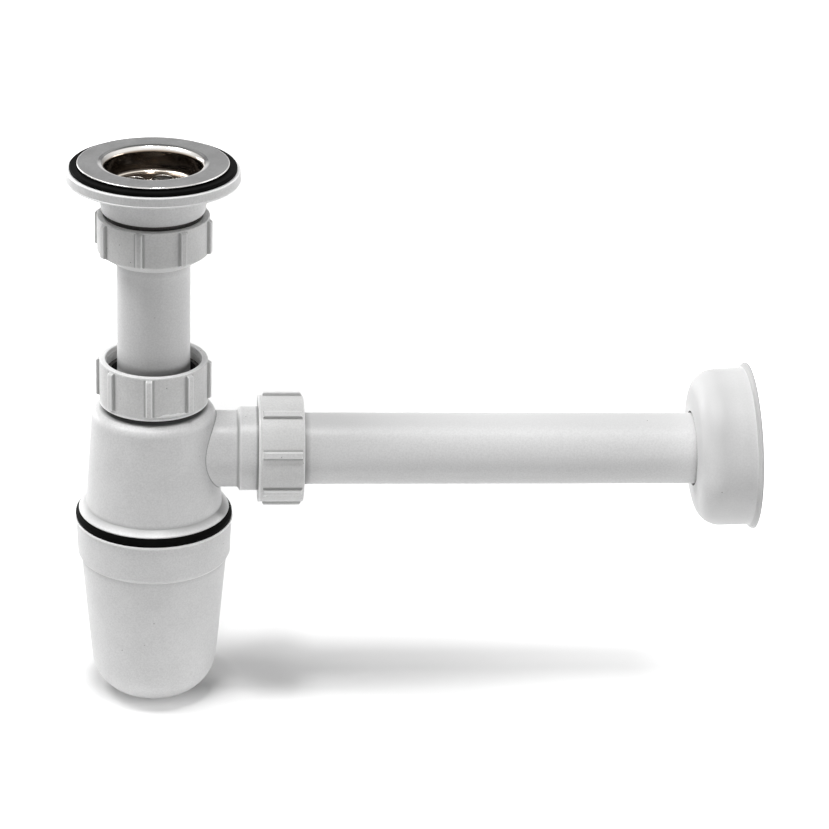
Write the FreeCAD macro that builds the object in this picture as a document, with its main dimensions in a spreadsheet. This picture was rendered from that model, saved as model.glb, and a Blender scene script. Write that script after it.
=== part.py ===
# Basin waste and bottle trap: pressed strainer, waste body, telescopic inlet pipe,
# bottle body with screwed cup, and a straight outlet pipe with a wall rosette.
# Millimetres. +Z is up along the bottle axis and +X runs along the outlet pipe to the wall.
# The origin is on the bottle axis, in the plane of the waste flange's upper face.
import FreeCAD, Part
import Sketcher
import math
import os

V = FreeCAD.Vector

# Driving sizes, one cell of the sheet each
SIZES = {
    # Edges and overlaps shared by several pieces
    "fine_edge": 0.3,
    "soft_edge": 0.6,
    "round_edge": 0.9,
    "broad_edge": 1.2,
    "inner_round": 2.0,
    "thread_bevel": 0.6,
    "cut_overrun": 1.0,
    "fin_overlap": 0.8,
    # Both pipes and what runs on them
    "pipe_diameter": 32.0,
    "pipe_wall": 1.9,
    "pipe_gap": 0.3,
    "grip_gap": 0.2,
    "seat_gap": 0.1,
    "socket_wall": 3.7,
    "thread_room": 1.2,
    "socket_bevel_land": 0.7,
    "socket_bevel_depth": 3.6,
    # Strainer, its screw and the two seals of the basin
    "strainer_diameter": 65.2,
    "strainer_sheet": 0.8,
    "strainer_lip_round": 1.6,
    "recess_diameter": 41.4,
    "recess_depth": 11.7,
    "recess_floor_round": 3.6,
    "drain_hole_diameter": 8.6,
    "drain_hole_circle": 24.6,
    "drain_hole_count": 6,
    "drain_hole_turn": 11.0,
    "screw_diameter": 5.9,
    "screw_head_diameter": 10.4,
    "screw_head_height": 2.4,
    "screw_head_round": 1.4,
    "screw_point": 0.8,
    "screw_length": 28.5,
    "screw_slot_width": 1.4,
    "screw_slot_depth": 1.2,
    "strainer_seal_diameter": 62.8,
    "strainer_seal_thickness": 0.6,
    "gasket_diameter": 71.8,
    "gasket_thickness": 1.8,
    "seal_hole_gap": 2.0,
    # Waste body
    "flange_diameter": 75.0,
    "flange_thickness": 3.8,
    "bowl_gap": 1.3,
    "bowl_draft": 1.3,
    "bowl_height": 17.3,
    "bowl_wall": 1.4,
    "spigot_wall": 2.7,
    "spigot_length": 14.6,
    "hub_diameter": 11.4,
    "hub_length": 20.6,
    "spoke_width": 1.8,
    "spoke_height": 12.0,
    "spoke_slope": 2.0,
    "spoke_foot_rise": 1.5,
    "spoke_count": 4,
    "insert_flats": 8.0,
    "insert_length": 10.0,
    "insert_cover": 1.0,
    "insert_bore_diameter": 6.1,
    # Waste nut and the collared top of the inlet pipe
    "waste_seal_thickness": 2.0,
    "waste_seal_width": 2.8,
    "collar_step": 0.3,
    "collar_thickness": 3.0,
    "waste_nut_length": 20.2,
    "waste_nut_cone_height": 4.2,
    "waste_nut_end_wall": 1.8,
    "waste_nut_lip": 3.5,
    "waste_nut_rim_gap": 3.2,
    "waste_nut_turn": 31.1,
    "inlet_pipe_length": 164.4,
    # Ribbed nuts
    "nut_wall": 2.9,
    "rib_reach": 1.6,
    "rib_width": 2.9,
    "rib_count": 8,
    "rib_slope": 0.9,
    "waste_rib_length": 14.7,
    # Slip nuts of the inlet and the outlet, with slip ring and cone seal
    "slip_nut_length": 20.3,
    "slip_nut_recess": 6.5,
    "slip_nut_draft": 0.2,
    "slip_nut_lip": 2.5,
    "slip_nut_lip_gap": 0.3,
    "slip_rib_length": 17.4,
    "slip_rib_start": 0.9,
    "inlet_nut_turn": 40.5,
    "outlet_nut_turn": 27.7,
    "slip_ring_thickness": 1.2,
    "seal_shoulder_gap": 0.4,
    "seal_shoulder_thickness": 2.8,
    "seal_collar_wall": 3.0,
    "seal_collar_height": 7.4,
    # Bottle body
    "inlet_visible_length": 46.8,
    "shoulder_gap": 0.9,
    "body_taper": 3.4,
    "body_ledge_width": 3.45,
    "body_height": 48.5,
    "body_wall": 2.2,
    "shoulder_round": 6.0,
    "body_flange_reach": 2.4,
    "body_flange_edge": 0.5,
    "body_ledge_height": 2.3,
    "body_ledge_cove": 1.6,
    "body_roof": 2.6,
    "skirt_diameter": 62.2,
    "skirt_length": 14.4,
    "skirt_wall": 2.4,
    "guide_wall": 2.2,
    "guide_length": 7.0,
    "guide_clearance": 1.5,
    # Side outlet
    "outlet_drop": 22.9,
    "stub_wall": 2.2,
    "stub_reach": 37.0,
    "stub_bore_gap": 0.8,
    "sleeve_wall": 2.4,
    "sleeve_step": 1.0,
    "sleeve_end": 53.1,
    "sleeve_thread_length": 5.6,
    "socket_stop": 38.0,
    "outlet_pipe_start": 40.5,
    "outlet_pipe_length": 221.5,
    # Cup and its ring
    "cup_seal_thickness": 3.4,
    "cup_seal_reach": 0.25,
    "cup_seal_top_reach": 0.3,
    "cup_seal_bulge": 1.5,
    "cup_collar_wall": 2.35,
    "cup_collar_draft": 0.55,
    "cup_collar_height": 18.6,
    "cup_collar_round": 1.6,
    "cup_step": 1.45,
    "cup_taper": 6.05,
    "cup_height": 88.1,
    "cup_wall": 2.2,
    "cup_foot_round": 20.0,
    "cup_thread_room": 1.3,
    "cup_thread_depth": 15.5,
    # Rosette
    "rosette_overlap": 18.2,
    "rosette_depth": 26.4,
    "rosette_hole_gap": 0.5,
    "rosette_face_rise": 1.6,
    "rosette_diameter": 70.2,
    "rosette_draft": 0.5,
    "rosette_rim_flare": 2.0,
    "rosette_rim_height": 2.0,
    "rosette_rim_edge": 0.8,
    "rosette_wall": 1.5,
    "rosette_round": 10.5,
}


class Size:
    """A length that knows both its number and the formula that drives it."""

    def __init__(self, value, formula):
        self.value = value
        self.formula = formula

    def joined(self, other, sign, value):
        return Size(value, f"({self.formula} {sign} {as_size(other).formula})")

    def __add__(self, other):
        return self.joined(other, "+", self.value + as_size(other).value)

    def __sub__(self, other):
        return self.joined(other, "-", self.value - as_size(other).value)

    def __mul__(self, other):
        return self.joined(other, "*", self.value * as_size(other).value)

    def __truediv__(self, other):
        return self.joined(other, "/", self.value / as_size(other).value)

    def __neg__(self):
        return Size(-self.value, f"(-1 * {self.formula})")


def as_size(number):
    return number if isinstance(number, Size) else Size(float(number), f"{float(number):.6f}")


doc = FreeCAD.newDocument("bottle_trap")
sheet = doc.addObject("Spreadsheet::Sheet", "Sizes")
for row, (alias, number) in enumerate(SIZES.items(), start=1):
    sheet.set(f"A{row}", alias)
    sheet.set(f"B{row}", str(number))
    sheet.setAlias(f"B{row}", alias)
doc.recompute()


def size(alias):
    return Size(SIZES[alias], f"Sizes.{alias}")


def radius(alias):
    return size(alias) / 2


# Length of the drawn axis line of a level revolution
AXIS_LINE = 10.0
FINE_EDGE = size("fine_edge")
SOFT_EDGE = size("soft_edge")
ROUND_EDGE = size("round_edge")
BROAD_EDGE = size("broad_edge")
INNER_ROUND = size("inner_round")
THREAD_BEVEL = size("thread_bevel")
OVERRUN = size("cut_overrun")
ZERO = Size(0.0, "0")


# Outlines and features

def origin_item(body, role):
    return next(item for item in body.Origin.OriginFeatures if item.Role == role)


def new_body(name):
    body = doc.addObject("PartDesign::Body", name)
    body.Label = name
    return body


def new_sketch(body, name, role="XZ_Plane"):
    sketch = body.newObject("Sketcher::SketchObject", name)
    sketch.AttachmentSupport = [(origin_item(body, role), "")]
    sketch.MapMode = "FlatFace"
    return sketch


def bind_distance(sketch, kind, geometry, point, length):
    """Hold one coordinate of a point at a driven distance from the sketch's origin."""
    if length.value == 0:
        axis = -2 if kind == "DistanceX" else -1
        sketch.addConstraint(Sketcher.Constraint("PointOnObject", geometry, point, axis))
        return
    index = sketch.addConstraint(Sketcher.Constraint(kind, -1, 1, geometry, point, length.value))
    sketch.setExpression(f"Constraints[{index}]", length.formula)


def bind_point(sketch, geometry, point, across, up):
    bind_distance(sketch, "DistanceX", geometry, point, across)
    bind_distance(sketch, "DistanceY", geometry, point, up)


def rounded_corner(before, corner, after, rounding):
    """The two tangent points and the centre of a rounding between two straight sides."""
    inward = (before - corner).normalize()
    outward = (after - corner).normalize()
    half = inward.getAngle(outward) / 2
    reach = rounding / math.tan(half)
    centre = corner + (inward + outward).normalize() * (rounding / math.sin(half))
    return corner + inward * reach, corner + outward * reach, centre


def arc_between(start, end, centre, rounding):
    """A counter-clockwise arc, and whether it runs from start to end."""
    first = math.atan2(start.y - centre.y, start.x - centre.x)
    last = math.atan2(end.y - centre.y, end.x - centre.x)
    forward = (last - first) % (2 * math.pi) < math.pi
    if not forward:
        first, last = last, first
    circle = Part.Circle(centre, V(0, 0, 1), rounding)
    return Part.ArcOfCircle(circle, first, last), forward


def outline(sketch, corners):
    """Closed outline through corners (across, up) or (across, up, rounding)."""
    corners = [tuple(as_size(number) for number in corner) for corner in corners]
    points = [V(corner[0].value, corner[1].value, 0) for corner in corners]
    count = len(corners)
    entries, exits, centres = list(points), list(points), [None] * count
    for index, corner in enumerate(corners):
        if len(corner) == 3:
            entries[index], exits[index], centres[index] = rounded_corner(
                points[index - 1], points[index], points[(index + 1) % count], corner[2].value)
    sides = [
        sketch.addGeometry(Part.LineSegment(exits[index], entries[(index + 1) % count]), False)
        for index in range(count)
    ]
    for index, corner in enumerate(corners):
        before, after = sides[index - 1], sides[index]
        if len(corner) == 2:
            sketch.addConstraint(Sketcher.Constraint("Coincident", before, 2, after, 1))
            bind_point(sketch, after, 1, corner[0], corner[1])
            continue
        mark = sketch.addGeometry(Part.Point(points[index]), True)
        bind_point(sketch, mark, 1, corner[0], corner[1])
        sketch.addConstraint(Sketcher.Constraint("PointOnObject", mark, 1, before))
        sketch.addConstraint(Sketcher.Constraint("PointOnObject", mark, 1, after))
        bend, forward = arc_between(entries[index], exits[index], centres[index], corner[2].value)
        arc = sketch.addGeometry(bend, False)
        near, far = (1, 2) if forward else (2, 1)
        sketch.addConstraint(Sketcher.Constraint("Tangent", before, 2, arc, near))
        sketch.addConstraint(Sketcher.Constraint("Tangent", after, 1, arc, far))
        turn = sketch.addConstraint(Sketcher.Constraint("Radius", arc, corner[2].value))
        sketch.setExpression(f"Constraints[{turn}]", corner[2].formula)


def turned(body, name, corners, feature="Revolution", axis_height=None):
    """Turn an outline about the body's Z axis, or about a level line at axis_height."""
    sketch = new_sketch(body, name + "_outline")
    axis = "V_Axis"
    if axis_height is not None:
        line = sketch.addGeometry(
            Part.LineSegment(V(0, axis_height.value, 0), V(AXIS_LINE, axis_height.value, 0)), True)
        sketch.addConstraint(Sketcher.Constraint("PointOnObject", line, 1, -2))
        sketch.addConstraint(Sketcher.Constraint("Horizontal", line))
        bind_distance(sketch, "DistanceY", line, 1, axis_height)
        sketch.addConstraint(Sketcher.Constraint("DistanceX", line, 1, line, 2, AXIS_LINE))
        axis = "Axis0"
    outline(sketch, corners)
    result = body.newObject("PartDesign::" + feature, name)
    result.Profile = sketch
    result.ReferenceAxis = (sketch, [axis])
    result.Angle = 360
    sketch.Visibility = False
    return result


def turned_body(name, corners):
    body = new_body(name)
    turned(body, name + "_form", corners)
    return body


def repeat(body, feature, name, count):
    """Repeat a feature evenly about the body's Z axis."""
    pattern = body.newObject("PartDesign::PolarPattern", name)
    pattern.Originals = [feature]
    pattern.Axis = (origin_item(body, "Z_Axis"), [""])
    pattern.Angle = 360
    pattern.setExpression("Occurrences", count.formula)
    body.Tip = pattern
    return pattern


def fins(body, name, corners, width, count):
    """Upright fins of an (across, up) outline, evenly about the Z axis."""
    sketch = new_sketch(body, name + "_outline")
    outline(sketch, corners)
    fin = body.newObject("PartDesign::Pad", name + "_first")
    fin.Profile = sketch
    fin.Midplane = True
    fin.setExpression("Length", width.formula)
    sketch.Visibility = False
    doc.recompute()
    return repeat(body, fin, name, count)


def place(body, across=0, up=0, toward_wall=False, turn=0.0):
    """Stand a body at its driven place; toward_wall lays its own Z axis along +X."""
    spin = FreeCAD.Rotation(V(0, 0, 1), turn)
    lay = FreeCAD.Rotation(V(0, 1, 0), 90) if toward_wall else FreeCAD.Rotation()
    body.Placement = FreeCAD.Placement(V(), lay.multiply(spin))
    body.setExpression("Placement.Base.x", as_size(across).formula)
    body.setExpression("Placement.Base.z", as_size(up).formula)
    return body


# Levels along the bottle axis and the outlet axis, all from the driving sizes
PIPE_R = radius("pipe_diameter")
PIPE_BORE_R = PIPE_R - size("pipe_wall")
RUNNING_BORE_R = PIPE_R + size("pipe_gap")
GAP = size("seat_gap")
THREAD_CORE_R = PIPE_R + size("socket_wall")
SOCKET_BEVEL_R = THREAD_CORE_R - size("socket_bevel_land")
NUT_BORE_R = THREAD_CORE_R + size("thread_room")
NUT_R = NUT_BORE_R + size("nut_wall")
COLLAR_R = THREAD_CORE_R - size("collar_step")
SEAL_BORE_R = PIPE_R + size("grip_gap")
SEAL_COLLAR_R = SEAL_BORE_R + size("seal_collar_wall")
SLIP_LIP_BORE_R = SEAL_COLLAR_R + size("slip_nut_lip_gap")
RECESS_OUTSIDE_R = radius("recess_diameter") + size("strainer_sheet")
SKIRT_R = radius("skirt_diameter")
BODY_FLANGE_R = SKIRT_R + size("body_flange_reach")
BODY_FOOT_R = BODY_FLANGE_R - size("body_ledge_width")
CUP_THREAD_R = SKIRT_R + size("cup_thread_room")
CUP_COLLAR_R = CUP_THREAD_R + size("cup_collar_wall")

STRAINER_UNDERSIDE = size("gasket_thickness") + size("strainer_seal_thickness")
STRAINER_TOP = STRAINER_UNDERSIDE + size("strainer_sheet")
RECESS_FLOOR = STRAINER_TOP - size("recess_depth")
HUB_TOP = RECESS_FLOOR - size("strainer_sheet") - GAP
HUB_FOOT = HUB_TOP - size("hub_length")
INSERT_TOP = HUB_FOOT + size("insert_cover") + size("insert_length")
BOWL_FOOT = -size("bowl_height")
SPIGOT_FOOT = BOWL_FOOT - size("spigot_length")
PIPE_TOP = SPIGOT_FOOT - GAP * 2 - size("waste_seal_thickness")
WASTE_NUT_TOP = BOWL_FOOT - size("waste_nut_rim_gap")
WASTE_NUT_FOOT = WASTE_NUT_TOP - size("waste_nut_length")

INLET_NUT_TOP = WASTE_NUT_FOOT - size("inlet_visible_length")
SHOULDER = INLET_NUT_TOP - size("slip_nut_length") - size("shoulder_gap")
NECK_DEPTH = (size("slip_nut_recess") + size("slip_nut_lip") + size("slip_ring_thickness")
              + size("seal_shoulder_thickness") + GAP * 3)
NECK_TOP = INLET_NUT_TOP - NECK_DEPTH
OUTLET_LEVEL = SHOULDER - size("outlet_drop")
LEDGE_TOP = SHOULDER - size("body_height")
FLANGE_FOOT = LEDGE_TOP - size("body_ledge_height") - size("body_flange_edge")
SKIRT_FOOT = FLANGE_FOOT - size("skirt_length")
CUP_TOP = FLANGE_FOOT - size("cup_seal_thickness")
OUTLET_NUT_END = size("sleeve_end") + NECK_DEPTH


# Strainer group

def make_strainer():
    """Flat flange with a rolled edge down into the drain recess, pressed from one sheet."""
    sheet_thickness = size("strainer_sheet")
    wall_r = radius("recess_diameter")
    rim_r = radius("strainer_diameter")
    lip = size("strainer_lip_round")
    floor_round = size("recess_floor_round")
    screw_hole_r = radius("screw_diameter") + size("pipe_gap")
    rise = size("recess_depth")
    body = turned_body("strainer", [
        (screw_hole_r, ZERO),
        (wall_r, ZERO, floor_round - sheet_thickness),
        (wall_r, rise, lip),
        (rim_r, rise, FINE_EDGE),
        (rim_r, rise - sheet_thickness),
        (RECESS_OUTSIDE_R, rise - sheet_thickness, lip - sheet_thickness),
        (RECESS_OUTSIDE_R, -sheet_thickness, floor_round),
        (screw_hole_r, -sheet_thickness),
    ])
    doc.recompute()
    hole = new_sketch(body, "drain_hole_outline", "XY_Plane")
    circle = hole.addGeometry(Part.Circle(V(radius("drain_hole_circle").value, 0, 0), V(0, 0, 1),
                                          radius("drain_hole_diameter").value), False)
    bind_point(hole, circle, 3, radius("drain_hole_circle"), ZERO)
    width = hole.addConstraint(
        Sketcher.Constraint("Radius", circle, radius("drain_hole_diameter").value))
    hole.setExpression(f"Constraints[{width}]", radius("drain_hole_diameter").formula)
    cut = body.newObject("PartDesign::Pocket", "drain_hole")
    cut.Profile = hole
    cut.setExpression("Length", (sheet_thickness * 2).formula)
    hole.Visibility = False
    doc.recompute()
    repeat(body, cut, "drain_holes", size("drain_hole_count"))
    return place(body, up=RECESS_FLOOR, turn=SIZES["drain_hole_turn"])


def make_screw():
    """Slotted pan-head screw through the strainer's floor."""
    shank_r = radius("screw_diameter")
    head_r = radius("screw_head_diameter")
    head = size("screw_head_height")
    foot = -size("screw_length")
    body = turned_body("strainer_screw", [
        (ZERO, foot),
        (shank_r - size("screw_point"), foot),
        (shank_r, foot + size("screw_point")),
        (shank_r, ZERO),
        (head_r, ZERO),
        (head_r, head, size("screw_head_round")),
        (ZERO, head),
    ])
    doc.recompute()
    slot = new_sketch(body, "screw_slot_outline")
    half = radius("screw_slot_width")
    bottom = head - size("screw_slot_depth")
    outline(slot, [(-half, bottom), (half, bottom), (half, head + OVERRUN), (-half, head + OVERRUN)])
    cut = body.newObject("PartDesign::Pocket", "screw_slot")
    cut.Profile = slot
    cut.Midplane = True
    cut.setExpression("Length", (head_r * 2 + OVERRUN).formula)
    slot.Visibility = False
    return place(body, up=RECESS_FLOOR + GAP / 2)


def make_ring(name, bore_r, outside_r, thickness, rounding=FINE_EDGE):
    """Flat ring with softened outer edges."""
    return turned_body(name, [
        (bore_r, ZERO),
        (outside_r, ZERO, rounding),
        (outside_r, thickness, rounding),
        (bore_r, thickness),
    ])


def make_basin_seals():
    """Thin seal under the strainer's flange and the thick gasket on the waste flange."""
    hole_r = RECESS_OUTSIDE_R + size("seal_hole_gap")
    seal = make_ring("strainer_seal", hole_r, radius("strainer_seal_diameter"),
                     size("strainer_seal_thickness"), size("strainer_seal_thickness") / 4)
    gasket = make_ring("basin_gasket", hole_r, radius("gasket_diameter"),
                       size("gasket_thickness"), SOFT_EDGE)
    return [place(seal, up=size("gasket_thickness")), place(gasket)]


# Waste body and its brass insert

def make_waste_body():
    """Round flange, tapered bowl, threaded spigot, and a hub on spokes for the screw."""
    wall = size("bowl_wall")
    top_r = RECESS_OUTSIDE_R + size("bowl_gap") + wall
    foot_r = top_r - size("bowl_draft")
    bore_r = THREAD_CORE_R - size("spigot_wall")
    flange_r = radius("flange_diameter")
    body = turned_body("waste_body", [
        (top_r - wall, ZERO),
        (flange_r, ZERO, ROUND_EDGE),
        (flange_r, -size("flange_thickness"), BROAD_EDGE),
        (top_r, -size("flange_thickness"), SOFT_EDGE),
        (foot_r, BOWL_FOOT, ROUND_EDGE),
        (THREAD_CORE_R, BOWL_FOOT, SOFT_EDGE),
        (THREAD_CORE_R, SPIGOT_FOOT, SOFT_EDGE),
        (bore_r, SPIGOT_FOOT),
        (bore_r, BOWL_FOOT + wall),
        (foot_r - wall, BOWL_FOOT + wall, ROUND_EDGE),
    ])
    doc.recompute()
    hub_r = radius("hub_diameter")
    turned(body, "hub", [
        (ZERO, HUB_FOOT),
        (hub_r, HUB_FOOT, ROUND_EDGE),
        (hub_r, HUB_TOP, SOFT_EDGE),
        (ZERO, HUB_TOP),
    ])
    spoke_foot = SPIGOT_FOOT + size("spoke_foot_rise")
    spoke_top = spoke_foot + size("spoke_height")
    inner = hub_r - size("fin_overlap")
    outer = bore_r + size("fin_overlap")
    fins(body, "spokes", [
        (inner, spoke_foot),
        (outer, spoke_foot),
        (outer, spoke_top),
        (inner, spoke_top - size("spoke_slope")),
    ], size("spoke_width"), size("spoke_count"))
    doc.recompute()
    clearance_r = radius("screw_diameter") + size("pipe_gap")
    turned(body, "screw_hole", [
        (ZERO, HUB_FOOT - OVERRUN),
        (clearance_r, HUB_FOOT - OVERRUN),
        (clearance_r, HUB_TOP + OVERRUN),
        (ZERO, HUB_TOP + OVERRUN),
    ], feature="Groove")
    doc.recompute()
    pocket_sketch = new_sketch(body, "insert_pocket_outline", "XY_Plane")
    hexagon(pocket_sketch, size("insert_flats"))
    pocket = body.newObject("PartDesign::Pocket", "insert_pocket")
    pocket_sketch.setExpression("AttachmentOffset.Base.z", INSERT_TOP.formula)
    pocket.Profile = pocket_sketch
    pocket.setExpression("Length", size("insert_length").formula)
    pocket_sketch.Visibility = False
    return place(body)


def hexagon(sketch, flats):
    """Six-sided outline centred on the origin, from its width across flats."""
    half = flats / 2
    corner = half * (2 / math.sqrt(3))
    outline(sketch, [
        (corner, ZERO),
        (corner / 2, half),
        (corner / -2, half),
        (-corner, ZERO),
        (corner / -2, -half),
        (corner / 2, -half),
    ])


def make_insert():
    """Hexagonal brass nut moulded into the hub."""
    body = new_body("screw_insert")
    sketch = new_sketch(body, "screw_insert_outline", "XY_Plane")
    hexagon(sketch, size("insert_flats"))
    prism = body.newObject("PartDesign::Pad", "screw_insert_form")
    prism.Profile = sketch
    prism.setExpression("Length", size("insert_length").formula)
    sketch.Visibility = False
    doc.recompute()
    bore_r = radius("insert_bore_diameter")
    turned(body, "screw_insert_bore", [
        (ZERO, -OVERRUN),
        (bore_r, -OVERRUN),
        (bore_r, size("insert_length") + OVERRUN),
        (ZERO, size("insert_length") + OVERRUN),
    ], feature="Groove")
    return place(body, up=INSERT_TOP - size("insert_length"))


# Pipes

def make_inlet_pipe():
    """Plain pipe with a collar at its top; its lower end dips into the cup."""
    collar_foot = -size("collar_thickness")
    foot = -size("inlet_pipe_length")
    body = turned_body("inlet_pipe", [
        (PIPE_BORE_R, ZERO),
        (COLLAR_R, ZERO, SOFT_EDGE),
        (COLLAR_R, collar_foot, SOFT_EDGE),
        (PIPE_R, collar_foot),
        (PIPE_R, foot, SOFT_EDGE),
        (PIPE_BORE_R, foot, SOFT_EDGE),
    ])
    return place(body, up=PIPE_TOP)


def make_outlet_pipe():
    """Plain straight pipe from the socket to the wall."""
    length = size("outlet_pipe_length")
    body = turned_body("outlet_pipe", [
        (PIPE_BORE_R, ZERO, SOFT_EDGE),
        (PIPE_R, ZERO, SOFT_EDGE),
        (PIPE_R, length, SOFT_EDGE),
        (PIPE_BORE_R, length, SOFT_EDGE),
    ])
    return place(body, across=size("outlet_pipe_start"), up=OUTLET_LEVEL, toward_wall=True)


# Ribbed nuts

def grip_ribs(body, start, length):
    """Upright ribs of a nut, with sloped ends, from start upward."""
    inner = NUT_R - size("fin_overlap")
    outer = NUT_R + size("rib_reach")
    slope = size("rib_slope")
    fins(body, body.Name + "_ribs", [
        (inner, start),
        (outer - slope / 2, start),
        (outer, start + slope / 2),
        (outer, start + length - slope),
        (outer - slope, start + length),
        (inner, start + length),
    ], size("rib_width"), size("rib_count"))


def make_waste_nut():
    """Nut with its open end up round the spigot and a cone down to the pipe."""
    length = size("waste_nut_length")
    cone = size("waste_nut_cone_height")
    lip_bore_r = RUNNING_BORE_R + size("seat_gap")
    body = turned_body("waste_nut", [
        (lip_bore_r, ZERO),
        (lip_bore_r + size("waste_nut_end_wall"), ZERO, SOFT_EDGE),
        (NUT_R, cone, BROAD_EDGE),
        (NUT_R, length, SOFT_EDGE),
        (NUT_BORE_R + THREAD_BEVEL, length),
        (NUT_BORE_R, length - THREAD_BEVEL),
        (NUT_BORE_R, size("waste_nut_lip")),
        (lip_bore_r, size("waste_nut_lip")),
    ])
    doc.recompute()
    grip_ribs(body, cone, size("waste_rib_length"))
    return place(body, up=WASTE_NUT_FOOT, turn=SIZES["waste_nut_turn"])


def make_slip_nut(name):
    """Nut with a threaded foot, an inner lip, and a deep open rim round the pipe."""
    length = size("slip_nut_length")
    draft = size("slip_nut_draft")
    lip_top = length - size("slip_nut_recess")
    lip_foot = lip_top - size("slip_nut_lip")
    body = turned_body(name, [
        (NUT_BORE_R + THREAD_BEVEL, ZERO),
        (NUT_R, ZERO, ROUND_EDGE),
        (NUT_R, length, ROUND_EDGE),
        (NUT_BORE_R + draft, length, SOFT_EDGE),
        (NUT_BORE_R - draft, lip_top),
        (SLIP_LIP_BORE_R, lip_top),
        (SLIP_LIP_BORE_R, lip_foot),
        (NUT_BORE_R, lip_foot),
        (NUT_BORE_R, THREAD_BEVEL),
    ])
    doc.recompute()
    start = length - size("slip_rib_start") - size("slip_rib_length")
    grip_ribs(body, start, size("slip_rib_length"))
    return body


def make_slip_ring(name):
    """Thin plastic ring between the nut's lip and the seal's shoulder."""
    return make_ring(name, SLIP_LIP_BORE_R, NUT_BORE_R - size("pipe_gap"),
                     size("slip_ring_thickness"))


def make_cone_seal(name):
    """Rubber seal: collar up through the nut's lip, shoulder, and cone into the socket."""
    shoulder_r = NUT_BORE_R - size("seal_shoulder_gap")
    shoulder_top = GAP + size("seal_shoulder_thickness")
    cone_foot = -size("socket_bevel_depth") + SOFT_EDGE
    slope = (SOCKET_BEVEL_R - RUNNING_BORE_R) / size("socket_bevel_depth")
    cone_top_r = SOCKET_BEVEL_R - GAP
    return turned_body(name, [
        (SEAL_BORE_R, cone_foot),
        (cone_top_r + slope * cone_foot, cone_foot),
        (cone_top_r, ZERO),
        (cone_top_r, GAP),
        (shoulder_r, GAP, FINE_EDGE),
        (shoulder_r, shoulder_top, FINE_EDGE),
        (SEAL_COLLAR_R, shoulder_top),
        (SEAL_COLLAR_R, size("seal_collar_height"), ROUND_EDGE),
        (SEAL_BORE_R, size("seal_collar_height"), FINE_EDGE),
    ])


def make_slip_joints():
    """The two slip joints: the inlet's stands on the neck, the outlet's on the sleeve."""
    ring_rise = size("seal_shoulder_thickness") + GAP * 2
    pieces = []
    seal = make_cone_seal("inlet_seal")
    ring = make_slip_ring("inlet_slip_ring")
    nut = make_slip_nut("inlet_nut")
    pieces.append(place(seal, up=NECK_TOP))
    pieces.append(place(ring, up=NECK_TOP + ring_rise))
    pieces.append(place(nut, up=INLET_NUT_TOP - size("slip_nut_length"),
                        turn=SIZES["inlet_nut_turn"]))
    seal = make_cone_seal("outlet_seal")
    ring = make_slip_ring("outlet_slip_ring")
    nut = make_slip_nut("outlet_nut")
    end = size("sleeve_end")
    pieces.append(place(seal, across=end, up=OUTLET_LEVEL, toward_wall=True))
    pieces.append(place(ring, across=end + ring_rise, up=OUTLET_LEVEL, toward_wall=True))
    pieces.append(place(nut, across=OUTLET_NUT_END - size("slip_nut_length"), up=OUTLET_LEVEL,
                        toward_wall=True, turn=SIZES["outlet_nut_turn"]))
    return pieces


# Bottle body, ring and cup

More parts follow.
